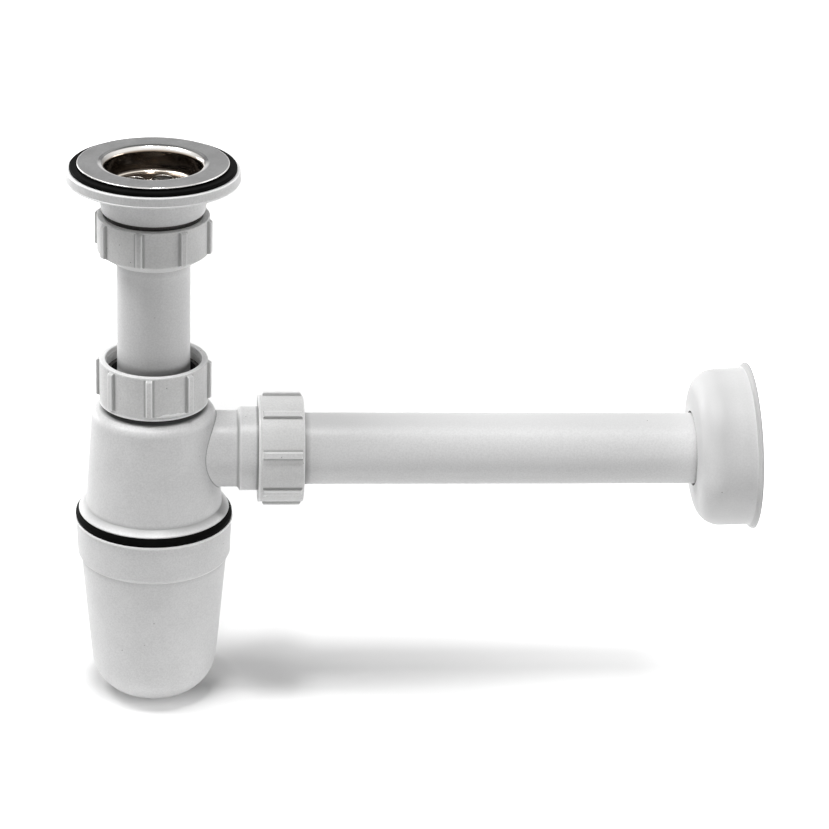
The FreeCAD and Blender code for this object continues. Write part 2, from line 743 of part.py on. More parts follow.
def make_trap_body():
    """Tapered bottle body with neck, flanged foot, threaded skirt and side outlet."""
    top_r = BODY_FOOT_R - size("body_taper")
    wall = size("body_wall")
    body = turned_body("trap_body", [
        (ZERO, NECK_TOP),
        (THREAD_CORE_R, NECK_TOP, SOFT_EDGE),
        (THREAD_CORE_R, SHOULDER, SOFT_EDGE),
        (top_r, SHOULDER, size("shoulder_round")),
        (BODY_FOOT_R, LEDGE_TOP, size("body_ledge_cove")),
        (BODY_FLANGE_R, FLANGE_FOOT + size("body_flange_edge"), FINE_EDGE),
        (BODY_FLANGE_R, FLANGE_FOOT),
        (SKIRT_R, FLANGE_FOOT),
        (SKIRT_R, SKIRT_FOOT, ROUND_EDGE),
        (ZERO, SKIRT_FOOT),
    ])
    doc.recompute()
    sleeve_r = RUNNING_BORE_R + size("sleeve_wall")
    stub_bore_r = PIPE_BORE_R + size("stub_bore_gap")
    stub_r = stub_bore_r + size("stub_wall")
    step_start = size("stub_reach")
    step_end = step_start + size("sleeve_step")
    thread_start = size("sleeve_end") - size("sleeve_thread_length")
    turned(body, "outlet", [
        (ZERO, OUTLET_LEVEL),
        (ZERO, OUTLET_LEVEL + stub_r),
        (step_start, OUTLET_LEVEL + stub_r, FINE_EDGE),
        (step_end, OUTLET_LEVEL + sleeve_r, FINE_EDGE),
        (thread_start, OUTLET_LEVEL + sleeve_r),
        (thread_start, OUTLET_LEVEL + THREAD_CORE_R, FINE_EDGE),
        (size("sleeve_end"), OUTLET_LEVEL + THREAD_CORE_R, SOFT_EDGE),
        (size("sleeve_end"), OUTLET_LEVEL),
    ], axis_height=OUTLET_LEVEL)
    doc.recompute()
    roof = SHOULDER - size("body_roof")
    guide_r = RUNNING_BORE_R + size("guide_wall")
    bevel = size("socket_bevel_depth")
    turned(body, "chamber", [
        (ZERO, SKIRT_FOOT - OVERRUN),
        (SKIRT_R - size("skirt_wall"), SKIRT_FOOT - OVERRUN),
        (SKIRT_R - size("skirt_wall"), FLANGE_FOOT, INNER_ROUND),
        (BODY_FOOT_R - wall, LEDGE_TOP, INNER_ROUND),
        (top_r - wall, roof, size("shoulder_round") - wall),
        (guide_r, roof, ROUND_EDGE),
        (guide_r, roof - size("guide_length")),
        (RUNNING_BORE_R, roof - size("guide_length")),
        (RUNNING_BORE_R, NECK_TOP - bevel),
        (SOCKET_BEVEL_R, NECK_TOP),
        (SOCKET_BEVEL_R, NECK_TOP + OVERRUN),
        (ZERO, NECK_TOP + OVERRUN),
    ], feature="Groove")
    doc.recompute()
    bore_start = guide_r + size("guide_clearance")
    turned(body, "outlet_bore", [
        (bore_start, OUTLET_LEVEL),
        (bore_start, OUTLET_LEVEL + stub_bore_r),
        (size("socket_stop"), OUTLET_LEVEL + stub_bore_r),
        (size("socket_stop"), OUTLET_LEVEL + RUNNING_BORE_R),
        (size("sleeve_end") - bevel, OUTLET_LEVEL + RUNNING_BORE_R),
        (size("sleeve_end"), OUTLET_LEVEL + SOCKET_BEVEL_R),
        (size("sleeve_end") + OVERRUN, OUTLET_LEVEL + SOCKET_BEVEL_R),
        (size("sleeve_end") + OVERRUN, OUTLET_LEVEL),
    ], feature="Groove", axis_height=OUTLET_LEVEL)
    return place(body)


def make_cup_seal():
    """Rubber ring between the body's flange and the cup's rim, bulging a little outside."""
    bore_r = SKIRT_R + size("pipe_gap")
    outside_r = CUP_COLLAR_R + size("cup_seal_reach")
    thickness = size("cup_seal_thickness") - GAP * 2
    body = turned_body("cup_seal", [
        (bore_r, ZERO),
        (outside_r - FINE_EDGE, ZERO, FINE_EDGE),
        (outside_r, thickness / 2, size("cup_seal_bulge")),
        (BODY_FLANGE_R + size("cup_seal_top_reach"), thickness, FINE_EDGE),
        (bore_r, thickness),
    ])
    return place(body, up=CUP_TOP + GAP)


def make_cup():
    """Screwed cup: plain collar, small step, tapered wall and a deeply rounded foot."""
    collar_foot_r = CUP_COLLAR_R - size("cup_collar_draft")
    collar_foot = -size("cup_collar_height")
    foot = -size("cup_height")
    wall = size("cup_wall")
    body_r = collar_foot_r - size("cup_step")
    foot_r = body_r - size("cup_taper")
    thread_foot = -size("cup_thread_depth")
    body = turned_body("cup", [
        (ZERO, foot),
        (foot_r, foot, size("cup_foot_round")),
        (body_r, collar_foot, SOFT_EDGE),
        (collar_foot_r, collar_foot + FINE_EDGE, size("cup_collar_round")),
        (CUP_COLLAR_R, ZERO, SOFT_EDGE),
        (CUP_THREAD_R + THREAD_BEVEL, ZERO),
        (CUP_THREAD_R, -THREAD_BEVEL),
        (CUP_THREAD_R, thread_foot),
        (body_r - wall, collar_foot - ROUND_EDGE, INNER_ROUND),
        (foot_r - wall, foot + wall, size("cup_foot_round") - wall),
        (ZERO, foot + wall),
    ])
    return place(body, up=CUP_TOP)


# Rosette

def make_rosette():
    """Deep cover: near-flat face, large rounding, slim skirt and a flared rim at the wall."""
    hole_r = PIPE_R + size("rosette_hole_gap")
    face_r = radius("rosette_diameter")
    foot_r = face_r + size("rosette_draft")
    rim_r = foot_r + size("rosette_rim_flare")
    wall = size("rosette_wall")
    rise = size("rosette_face_rise")
    depth = size("rosette_depth")
    flare = depth - size("rosette_rim_height")
    body = turned_body("rosette", [
        (hole_r, ZERO, FINE_EDGE),
        (face_r, rise, size("rosette_round")),
        (foot_r, flare, BROAD_EDGE),
        (rim_r, depth - size("rosette_rim_edge"), FINE_EDGE),
        (rim_r, depth, FINE_EDGE),
        (foot_r - wall + SOFT_EDGE, depth),
        (foot_r - wall, flare, BROAD_EDGE),
        (face_r - wall, rise + wall, size("rosette_round") - wall),
        (hole_r, wall, FINE_EDGE),
    ])
    pipe_end = size("outlet_pipe_start") + size("outlet_pipe_length")
    return place(body, across=pipe_end - size("rosette_overlap"), up=OUTLET_LEVEL,
                 toward_wall=True)


def make_waste_seal():
    """Flat rubber washer between the spigot's end and the pipe's collar."""
    washer = make_ring("waste_seal", COLLAR_R - size("waste_seal_width"), COLLAR_R,
                       size("waste_seal_thickness"))
    return place(washer, up=PIPE_TOP + GAP)


parts = [make_strainer(), make_screw()]
parts += make_basin_seals()
parts += [make_waste_body(), make_insert(), make_waste_seal(), make_inlet_pipe(), make_waste_nut()]
parts += make_slip_joints()
parts += [make_trap_body(), make_cup_seal(), make_cup(), make_outlet_pipe(), make_rosette()]
doc.recompute()

# Nothing is written before every object and every shape has been looked at
for item in doc.Objects:
    if "Invalid" in item.State or "Error" in item.State:
        raise RuntimeError(f"{item.Label} failed: {item.State}")
for part in parts:
    if part.Shape.isNull() or not part.Shape.isValid():
        raise RuntimeError(f"{part.Label} has no valid shape")
    if len(part.Shape.Solids) != 1:
        raise RuntimeError(f"{part.Label} is not one solid")

os.makedirs("parts", exist_ok=True)
for part in parts:
    part.Shape.exportStep(f"parts/{part.Label}.step")
    box = part.Shape.BoundBox
    print(f"{part.Label:18s} volume {part.Shape.Volume:9.1f}  x {box.XMin:7.2f} {box.XMax:7.2f}"
          f"  y {box.YMin:7.2f} {box.YMax:7.2f}  z {box.ZMin:8.2f} {box.ZMax:8.2f}")
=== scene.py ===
import math

import bmesh
import bpy
from mathutils import Matrix, Vector, noise
from mathutils.geometry import delaunay_2d_cdt


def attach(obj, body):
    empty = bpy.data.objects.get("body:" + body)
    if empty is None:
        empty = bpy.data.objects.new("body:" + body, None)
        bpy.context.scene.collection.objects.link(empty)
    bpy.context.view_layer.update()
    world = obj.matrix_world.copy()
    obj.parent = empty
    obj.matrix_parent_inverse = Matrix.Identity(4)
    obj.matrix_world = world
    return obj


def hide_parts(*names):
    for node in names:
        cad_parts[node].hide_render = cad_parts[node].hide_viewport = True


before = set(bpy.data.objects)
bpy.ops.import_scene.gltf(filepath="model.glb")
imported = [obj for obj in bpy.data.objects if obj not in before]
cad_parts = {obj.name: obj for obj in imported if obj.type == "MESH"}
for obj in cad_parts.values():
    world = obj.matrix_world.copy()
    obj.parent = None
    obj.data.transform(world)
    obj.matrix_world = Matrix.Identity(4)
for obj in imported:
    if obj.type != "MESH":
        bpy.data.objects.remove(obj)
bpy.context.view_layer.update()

MM = 0.001

# How finely shapes are cut: steps round a turn, degrees a step in a bend, the distance of the
# extra point beside a bend, and the angle from which an edge is shaded sharp
SEGMENTS = 168
BEND_STEP = 11.0
SUPPORT = 0.14
SHARP_ANGLE = math.radians(34)

# Heights, places along the outlet from the upright axis, and the turn of each nut in degrees
OUTLET_LEVEL = -131.6
FLOOR_LEVEL = -251.5
INLET_SOCKET = -100.8
OUTLET_SOCKET = 53.1
WASTE_NUT_FOOT = -40.7
INLET_NUT_FOOT = -107.8
OUTLET_NUT_FOOT = 46.1
WASTE_NUT_TURN = 31.1
INLET_NUT_TURN = 40.5
OUTLET_NUT_TURN = 27.7

# Ribbed nuts and threads
NUT_R = 23.8
WASTE_NUT_R = 24.3
RIB_COUNT = 8
RIB_HEIGHT = 1.6
RIB_WIDTH = 2.9
THREAD_CORE_R = 19.7
NUT_PITCH = 2.309
CUP_PITCH = 3.0

# Lays a shape turned about its own Z axis along the outlet, its height becoming the world's X
LAY = Matrix.Translation((0, 0, OUTLET_LEVEL)) @ Matrix.Rotation(math.radians(90), 4, "Y")


# Outlines and shells

def smooth_outline(corners, closed=True, bend_step=BEND_STEP):
    """Points of an outline through (r, z) or (r, z, rounding) corners, its bends cut finely."""
    count = len(corners)
    points = []
    for index, corner in enumerate(corners):
        here = Vector(corner[:2])
        ends = not closed and index in (0, count - 1)
        if len(corner) == 2 or ends:
            points.append(here)
            continue
        before = Vector(corners[index - 1][:2])
        after = Vector(corners[(index + 1) % count][:2])
        inward = (before - here).normalized()
        outward = (after - here).normalized()
        half = inward.angle(outward) / 2
        rounding = corner[2]
        reach = rounding / math.tan(half)
        centre = here + (inward + outward).normalized() * (rounding / math.sin(half))
        start = here + inward * reach
        end = here + outward * reach
        first = start - centre
        last = end - centre
        sweep = first.angle_signed(last)
        steps = max(3, math.ceil(abs(math.degrees(sweep)) / bend_step))
        if (before - start).length > 3 * SUPPORT:
            points.append(start + inward * SUPPORT)
        for step in range(steps + 1):
            turn = Matrix.Rotation(-sweep * step / steps, 2)
            points.append(centre + turn @ first)
        if (after - end).length > 3 * SUPPORT:
            points.append(end + outward * SUPPORT)
    return [(point.x, point.y) for point in points]


class Shell:
    """Points and faces of one piece, gathered in millimetres."""

    def __init__(self):
        self.points = []
        self.faces = []

    def add(self, points, faces):
        offset = len(self.points)
        self.points += [Vector(point) for point in points]
        self.faces += [[index + offset for index in face] for face in faces]
        return self

    def grid(self, rings, round_trip=True, along_trip=False):
        """Faces between neighbouring rings of equal length."""
        width = len(rings[0])
        faces = []
        last = len(rings) if along_trip else len(rings) - 1
        across = width if round_trip else width - 1
        for row in range(last):
            upper = (row + 1) % len(rings)
            for column in range(across):
                beside = (column + 1) % width
                faces.append([row * width + column, row * width + beside,
                              upper * width + beside, upper * width + column])
        return self.add([point for ring in rings for point in ring], faces)

    def turned(self, outline, closed=True, segments=SEGMENTS):
        """Turn an outline about the Z axis. Points on the axis close to a pole."""
        rings = []
        for r, z in outline:
            rings.append([(r * math.cos(2 * math.pi * k / segments),
                           r * math.sin(2 * math.pi * k / segments), z)
                          for k in range(segments)])
        return self.grid(rings, along_trip=closed)

    def moved(self, matrix):
        self.points = [matrix @ point for point in self.points]
        return self

    def join(self, other):
        return self.add(other.points, other.faces)

    def mesh(self, name):
        mesh = bpy.data.meshes.new(name)
        mesh.from_pydata([point * MM for point in self.points], [], self.faces)
        shape = bmesh.new()
        shape.from_mesh(mesh)
        bmesh.ops.remove_doubles(shape, verts=shape.verts, dist=2e-6)
        bmesh.ops.dissolve_degenerate(shape, edges=shape.edges, dist=1e-6)
        bmesh.ops.recalc_face_normals(shape, faces=shape.faces)
        shape.to_mesh(mesh)
        shape.free()
        mesh.shade_smooth()
        mesh.set_sharp_from_angle(angle=SHARP_ANGLE)
        return mesh


def revolve(corners, closed=True, bend_step=BEND_STEP, segments=SEGMENTS):
    """Shell turned about Z from the corners of an outline."""
    return Shell().turned(smooth_outline(corners, closed, bend_step), closed, segments)


def new_object(name, mesh):
    item = bpy.data.objects.new(name, mesh)
    bpy.context.scene.collection.objects.link(item)
    return item


def dress(name, shape, body, material, nodes=(), paint=()):
    """Make a piece from a shell or a mesh, with its material, body and CAD nodes.

    Each entry of paint is a second material and a test of a face's middle in millimetres.
    """
    mesh = shape.mesh(name) if isinstance(shape, Shell) else shape
    item = new_object(name, mesh)
    item.data.materials.clear()
    item.data.materials.append(material)
    for number, (second, test) in enumerate(paint):
        item.data.materials.append(second)
        for polygon in mesh.polygons:
            if test(*(polygon.center / MM)):
                polygon.material_index = number + 1
    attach(item, body)
    if nodes:
        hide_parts(*nodes)


def cut_mesh(name, base, steps):
    """Join or cut shells one after another and return the clean mesh."""
    item = new_object(name + "_base", base.mesh(name + "_base"))
    helpers = []
    for number, (operation, shell) in enumerate(steps):
        helper = new_object(f"{name}_tool_{number}", shell.mesh(f"{name}_tool_{number}"))
        modifier = item.modifiers.new(f"step_{number}", "BOOLEAN")
        modifier.operation = operation
        modifier.solver = "EXACT"
        modifier.object = helper
        helpers.append(helper)
    bpy.context.view_layer.update()
    graph = bpy.context.evaluated_depsgraph_get()
    mesh = bpy.data.meshes.new_from_object(item.evaluated_get(graph))
    mesh.name = name
    shape = bmesh.new()
    shape.from_mesh(mesh)
    bmesh.ops.remove_doubles(shape, verts=shape.verts, dist=5e-6)
    bmesh.ops.dissolve_degenerate(shape, edges=shape.edges, dist=2e-6)
    shape.to_mesh(mesh)
    shape.free()
    for leftover in [item, *helpers]:
        data = leftover.data
        bpy.data.objects.remove(leftover)
        bpy.data.meshes.remove(data)
    mesh.shade_smooth()
    mesh.set_sharp_from_angle(angle=SHARP_ANGLE)
    return mesh


def thread(radius, height, pitch, low, high, foot_width, crest_width, phase=0.0, steps=72):
    """Right-hand ridge wound about Z. A negative height turns the crest inward."""
    sink = 0.25 if height > 0 else -0.25
    shoulder = height * 0.86
    section = [(-foot_width / 2, -sink), (-foot_width / 2, 0.0), (-crest_width / 2, shoulder),
               (-crest_width / 2 + 0.1, height), (crest_width / 2 - 0.1, height),
               (crest_width / 2, shoulder), (foot_width / 2, 0.0), (foot_width / 2, -sink)]
    first = (low - phase) / pitch * 2 * math.pi
    last = (high - phase) / pitch * 2 * math.pi
    count = max(8, int((last - first) / (2 * math.pi) * steps))
    fade = math.radians(38)
    rings = []
    for number in range(count + 1):
        angle = first + (last - first) * number / count
        rise = min(1.0, (angle - first) / fade, (last - angle) / fade)
        rise = 0.04 + 0.96 * max(0.0, rise) ** 0.7
        level = phase + pitch * angle / (2 * math.pi)
        ring = []
        for along, out in section:
            r = radius + (out * rise if out * sink >= 0 else out)
            ring.append((r * math.cos(angle), r * math.sin(angle), level + along))
        rings.append(ring)
    shell = Shell().grid(rings)
    width = len(section)
    shell.faces.append(list(range(width)))
    shell.faces.append([count * width + index for index in reversed(range(width))])
    return shell


# Ribbed nuts

def rib_columns(turn, wall_r):
    """Angles round a nut with the share of the rib's height that each one carries."""
    half = RIB_WIDTH / 2
    foot = 0.32
    edge = 0.5
    side = [(-(half + foot + 0.5), 0.0), (-(half + foot), 0.0), (-(half + foot * 0.62), 0.02),
            (-(half + foot * 0.29), 0.06), (-(half + foot * 0.08), 0.13), (-half, 0.21)]
    for step in range(6):
        angle = math.radians(90 * step / 5)
        side.append((-(half - 0.05 - edge * (1 - math.cos(angle))),
                     1 - edge / RIB_HEIGHT * (1 - math.sin(angle))))
    side.append((-(half - 0.05 - edge - 0.14), 1.0))
    side.append((0.0, 1.0))
    across = side + [(-t, share) for t, share in reversed(side[:-1])]
    columns = []
    pitch = 2 * math.pi / RIB_COUNT
    reach = math.asin((half + foot + 0.5) / wall_r)
    for rib in range(RIB_COUNT):
        middle = math.radians(turn) + rib * pitch
        columns += [(middle + math.asin(t / wall_r), share) for t, share in across]
        gap = pitch - 2 * reach
        for step in range(1, 9):
            columns.append((middle + reach + gap * step / 9, 0.0))
    return columns


def rib_share(z, low, high):
    """How far a rib stands out at a height, with soft ends."""
    if z <= low or z >= high:
        return 0.0
    foot = min(1.0, (z - low) / 0.55)
    top = min(1.0, (high - z) / 1.0)
    return math.sin(math.radians(90) * foot) ** 0.6 * math.sin(math.radians(90) * top) ** 0.75


def ribbed(outline, low, high, turn, wall_r=NUT_R):
    """Turned nut whose outer wall carries ribs from low to high."""
    columns = rib_columns(turn, wall_r)
    levels = [0.03, 0.09, 0.18, 0.32, 0.55]
    marks = [low + 0.001] + [low + level for level in levels]
    marks += [high - level * 1.8 for level in reversed(levels)] + [high - 0.001]
    rows = []
    for number, (r, z) in enumerate(outline):
        rows.append((r, z))
        after = outline[(number + 1) % len(outline)]
        wall = abs(r - wall_r) < 0.02 and abs(after[0] - wall_r) < 0.02
        if wall and max(z, after[1]) > low and min(z, after[1]) < high:
            inside = sorted(mark for mark in marks if min(z, after[1]) < mark < max(z, after[1]))
            if after[1] < z:
                inside.reverse()
            rows += [(wall_r, mark) for mark in inside]
    rings = []
    for r, z in rows:
        share = rib_share(z, low, high) if r > wall_r - 0.02 else 0.0
        rings.append([((r + share * rise * RIB_HEIGHT) * math.cos(angle),
                       (r + share * rise * RIB_HEIGHT) * math.sin(angle), z)
                      for angle, rise in columns])
    return Shell().grid(rings, along_trip=True)


def flash(radius, level, start, end, height, seed):
    """Thin ragged moulding flash along part of a nut's wall."""
    rings = []
    count = 46
    for step in range(count + 1):
        share = step / count
        angle = math.radians(start + (end - start) * share)
        fade = math.sin(math.pi * share) ** 0.5
        ragged = 0.5 + 0.8 * noise.noise(Vector((share * 8, seed, 0.3)))
        lift = fade * height * (0.25 + ragged)
        thick = fade * (0.18 + 0.24 * ragged)
        rings.append([(r * math.cos(angle), r * math.sin(angle), z) for r, z in (
            (radius - 0.2, level), (radius + 0.05 + thick, level + lift * 0.1),
            (radius + 0.12 + thick, level + lift * 0.6), (radius + 0.04, level + lift),
            (radius - 0.2, level + lift))])
    shell = Shell().grid(rings)
    shell.faces.append([0, 1, 2, 3, 4])
    shell.faces.append([count * 5 + index for index in (4, 3, 2, 1, 0)])
    return shell


# Materials

def node_material(name):
    """New material with its tree, its shader and its texture coordinates."""
    material = bpy.data.materials.new(name)
    material.use_nodes = True
    tree = material.node_tree
    return material, tree, tree.nodes["Principled BSDF"], tree.nodes.new("ShaderNodeTexCoord")


def grey(tone):
    return tone, tone, tone


def add_noise(tree, place, scale, detail, roughness, stretch=None):
    """Noise in object space, scale in features a metre, stretched if asked."""
    source = place.outputs["Object"]
    if stretch:
        mapping = tree.nodes.new("ShaderNodeMapping")
        mapping.inputs["Scale"].default_value = stretch
        tree.links.new(source, mapping.inputs["Vector"])
        source = mapping.outputs["Vector"]
    texture = tree.nodes.new("ShaderNodeTexNoise")
    texture.inputs["Scale"].default_value = scale
    texture.inputs["Detail"].default_value = detail
    texture.inputs["Roughness"].default_value = roughness
    tree.links.new(source, texture.inputs["Vector"])
    return texture.outputs["Fac"]


def remap(tree, value, low, high, to_low=0.0, to_high=1.0):
    node = tree.nodes.new("ShaderNodeMapRange")
    node.inputs["From Min"].default_value = low
    node.inputs["From Max"].default_value = high
    node.inputs["To Min"].default_value = to_low
    node.inputs["To Max"].default_value = to_high
    tree.links.new(value, node.inputs["Value"])
    return node.outputs["Result"]


def math_node(tree, operation, first, second):
    node = tree.nodes.new("ShaderNodeMath")
    node.operation = operation
    for socket, value in zip(node.inputs, (first, second)):
        if isinstance(value, (int, float)):
            socket.default_value = value
        else:
            tree.links.new(value, socket)
    return node.outputs["Value"]


def product(tree, first, second):
    return math_node(tree, "MULTIPLY", first, second)


def length(tree, first, second):
    squares = math_node(tree, "ADD", product(tree, first, first), product(tree, second, second))
    return math_node(tree, "SQRT", squares, 0.0)


def mix_colour(tree, share, first, second):
    """First colour at a share of nought and second at one. Inputs 6 and 7 hold the colours."""
    node = tree.nodes.new("ShaderNodeMix")
    node.data_type = "RGBA"
    tree.links.new(share, node.inputs["Factor"])
    for socket, value in ((node.inputs[6], first), (node.inputs[7], second)):
        if isinstance(value, tuple):
            socket.default_value = (*value, 1.0)
        else:
            tree.links.new(value, socket)
    return node.outputs[2]


def add_bump(tree, shader, height, distance):
    """Bump of a depth in metres, on top of any bump the shader has."""
    node = tree.nodes.new("ShaderNodeBump")
    node.inputs["Distance"].default_value = distance
    tree.links.new(height, node.inputs["Height"])
    chained = shader.inputs["Normal"].links
    if chained:
        tree.links.new(chained[0].from_socket, node.inputs["Normal"])
    tree.links.new(node.outputs["Normal"], shader.inputs["Normal"])


def specks(tree, place, scale, size, share):
    """Mask of sparse round specks: size is their radius in metres."""
    cells = tree.nodes.new("ShaderNodeTexVoronoi")
    cells.inputs["Scale"].default_value = scale
    tree.links.new(place.outputs["Object"], cells.inputs["Vector"])
    near = remap(tree, cells.outputs["Distance"], size * scale * 0.6, size * scale, 1.0, 0.0)
    pick = tree.nodes.new("ShaderNodeSeparateColor")
    tree.links.new(cells.outputs["Color"], pick.inputs["Color"])
    chosen = math_node(tree, "LESS_THAN", pick.outputs["Red"], share)
    return product(tree, near, chosen)


def place_parts(tree, place):
    """The place in the part's own frame, split into X, Y and Z in metres."""
    parts = tree.nodes.new("ShaderNodeSeparateXYZ")
    tree.links.new(place.outputs["Object"], parts.inputs["Vector"])
    return parts.outputs


def polar_coordinates(tree, place, axis="Z"):
    """Distance from the upright or the outlet's axis and the place along Z, in metres."""
    parts = place_parts(tree, place)
    first = parts["X"]
    if axis == "X":
        first = math_node(tree, "SUBTRACT", parts["Z"], OUTLET_LEVEL * MM)
    return length(tree, first, parts["Y"]), parts["Z"]


def paint_shading(tree, place, colour, painted_shading):
    """Lay painted shade and painted light over a colour, such as shade in a corner or a gap or a
    highlight on an edge.

    Each one has a tone, a strength and ramps: a place in millimetres where it starts and one
    where it is full, along x, height (z) or reach (distance from the upright axis).
    """
    parts = place_parts(tree, place)
    channels = {"x": parts["X"], "height": parts["Z"], "reach": polar_coordinates(tree, place)[0]}
    for tone, strength, *ramps in painted_shading:
        mask = None
        for channel, start, full in ramps:
            low, high = sorted((start * MM, full * MM))
            ends = (0.0, 1.0) if start < full else (1.0, 0.0)
            ramp = remap(tree, channels[channel], low, high, *ends)
            mask = ramp if mask is None else product(tree, mask, ramp)
        colour = mix_colour(tree, product(tree, mask, strength), colour, grey(tone))
    return colour


def rib_shading(tree, place, colour, shade, ribs):
    """Painted shade in the corners beside a nut's ribs, and painted highlights along their crests.

    Ribs are given by the nut's axis, its turn, their two ends and the radius of its wall.
    """
    axis, turn, low, high, wall_r = ribs
    parts = place_parts(tree, place)
    along, sideways = parts["Z"], parts["X"]
    if axis == "X":
        along = parts["X"]
        sideways = math_node(tree, "SUBTRACT", OUTLET_LEVEL * MM, parts["Z"])
    angle = math_node(tree, "ARCTAN2", parts["Y"], sideways)
    off = math_node(tree, "PINGPONG", math_node(tree, "SUBTRACT", angle, math.radians(turn)),
                    math.pi / RIB_COUNT)
    off = product(tree, off, wall_r)
    reach = polar_coordinates(tree, place, axis)[0]
    field = product(tree, remap(tree, along, (low - 0.2) * MM, low * MM),
                    remap(tree, along, (high - 0.2) * MM, high * MM, 1.0, 0.0))
    field = product(tree, field, remap(tree, reach, (wall_r - 0.4) * MM, (wall_r - 0.2) * MM))
    corner = product(tree, remap(tree, off, 1.34, 1.48, 0.0, 0.7),
                     remap(tree, off, 1.8, 2.7, 1.0, 0.0))
    edge = product(tree, remap(tree, off, 0.75, 0.95, 0.0, 0.9),
                   remap(tree, off, 1.32, 1.40, 1.0, 0.0))
    colour = mix_colour(tree, product(tree, corner, field), colour,
                        tuple(value * 0.42 for value in shade))
    return mix_colour(tree, product(tree, edge, field), colour, grey(0.95))


def plastic(name, bright, shade, rough, grain=1.0, stretch=None, speck_share=0.2, ribs=None,
            painted_shading=()):
    """Moulded or drawn white plastic: cloudy tone, fine grain, soft waves and dust specks, with
    any painted shade and highlights asked for.
    """
    material, tree, shader, place = node_material(name)
    cloud = add_noise(tree, place, 70, 3.0, 0.6, stretch)
    fine = add_noise(tree, place, 1250, 2.0, 0.7)
    tone = math_node(tree, "ADD", product(tree, cloud, 0.3), product(tree, fine, 0.7))
    colour = mix_colour(tree, remap(tree, tone, 0.38, 0.62), shade, bright)
    if ribs:
        colour = rib_shading(tree, place, colour, shade, ribs)
    if painted_shading:
        colour = paint_shading(tree, place, colour, painted_shading)
    dust = specks(tree, place, 200, 0.00030, speck_share)
    colour = mix_colour(tree, product(tree, dust, 0.75), colour, (0.16, 0.15, 0.14))
    tree.links.new(colour, shader.inputs["Base Color"])
    sheen = add_noise(tree, place, 160, 3.0, 0.6, stretch)
    tree.links.new(remap(tree, sheen, 0.3, 0.7, rough - 0.05, rough + 0.06),
                   shader.inputs["Roughness"])
    shader.inputs["IOR"].default_value = 1.49
    shader.inputs["Specular IOR Level"].default_value = 0.4
    waves = add_noise(tree, place, 130, 2.0, 0.5, stretch)
    add_bump(tree, shader, waves, 0.00006)
    pores = add_noise(tree, place, 1500, 3.0, 0.65)
    add_bump(tree, shader, pores, 0.00003 * grain)
    return material


def rubber(name, tone, rough):
    """Black rubber with a faint bloom and a moulded grain."""
    material, tree, shader, place = node_material(name)
    bloom = add_noise(tree, place, 220, 4.0, 0.65)
    colour = mix_colour(tree, remap(tree, bloom, 0.35, 0.75), grey(tone),
                        (tone * 2.1, tone * 2.1, tone * 2.0))
    tree.links.new(colour, shader.inputs["Base Color"])
    tree.links.new(remap(tree, bloom, 0.3, 0.7, rough - 0.06, rough + 0.1),
                   shader.inputs["Roughness"])
    shader.inputs["Specular IOR Level"].default_value = 0.012
    grain = add_noise(tree, place, 2600, 3.0, 0.6)
    add_bump(tree, shader, grain, 0.00002)
    return material


def pressed_steel(name):
    """Pressed stainless sheet: pierced plate, drawn wall painted dark as shade, rolled lip and
    satin flange, with painted highlights and reflections on the bend, lip and edges.
    """
    material, tree, shader, place = node_material(name)
    shader.inputs["Metallic"].default_value = 1.0
    distance, height = polar_coordinates(tree, place)
    depth = place_parts(tree, place)["Y"]
    brushed = add_noise(tree, place, 900, 4.0, 0.7)
    patches = add_noise(tree, place, 90, 3.0, 0.6)
    tone = math_node(tree, "ADD", product(tree, brushed, 0.5), product(tree, patches, 0.5))
    tone = remap(tree, tone, 0.35, 0.65)
    satin = mix_colour(tree, tone, grey(0.135), grey(0.22))
    plate = mix_colour(tree, tone, (0.20, 0.165, 0.13), (0.44, 0.37, 0.30))
    wall = mix_colour(tree, tone, (0.062, 0.052, 0.044), (0.115, 0.096, 0.081))
    to_the_back = remap(tree, depth, 0.002, 0.015)
    painted_lip_reflection = mix_colour(tree, to_the_back, (0.20, 0.185, 0.17), (0.86, 0.84, 0.81))
    crest = product(tree, remap(tree, distance, 0.0221, 0.0224),
                    remap(tree, depth, -0.003, 0.003, 1.0, 0.0))
    past_roll = remap(tree, distance, 0.0234, 0.0240)
    past_flange = remap(tree, distance, 0.0321, 0.0323)
    # Zones over the plate: a painted highlight on the bend, the wall painted dark as shade, a
    # painted glint, the lip's painted reflection, pale behind and dark in front, a dark painted
    # brow, a painted highlight on the crest in front, the satin flange and a painted highlight on
    # its edge
    colour = plate
    for mask, zone in (
            (remap(tree, distance, 0.0182, 0.0184), (0.86, 0.79, 0.70)),
            (remap(tree, height, -0.0081, -0.0077), wall),
            (remap(tree, height, 0.0004, 0.0009), (0.34, 0.27, 0.21)),
            (remap(tree, height, 0.0009, 0.0016), painted_lip_reflection),
            (remap(tree, height, 0.0025, 0.0028), grey(0.10)),
            (crest, (0.55, 0.545, 0.54)),
            (past_roll, satin),
            (past_flange, (0.62, 0.61, 0.60))):
        colour = mix_colour(tree, mask, colour, zone)
    tree.links.new(colour, shader.inputs["Base Color"])
    smooth = math_node(tree, "SUBTRACT", past_roll, past_flange)
    tree.links.new(math_node(tree, "ADD", product(tree, smooth, 0.24),
                             remap(tree, tone, 0.0, 1.0, 0.12, 0.2)),
                   shader.inputs["Roughness"])
    draw_lines = add_noise(tree, place, 60, 2.0, 0.6, (1.0, 1.0, 60.0))
    add_bump(tree, shader, draw_lines, 0.00001)
    add_bump(tree, shader, brushed, 0.000012)
    return material


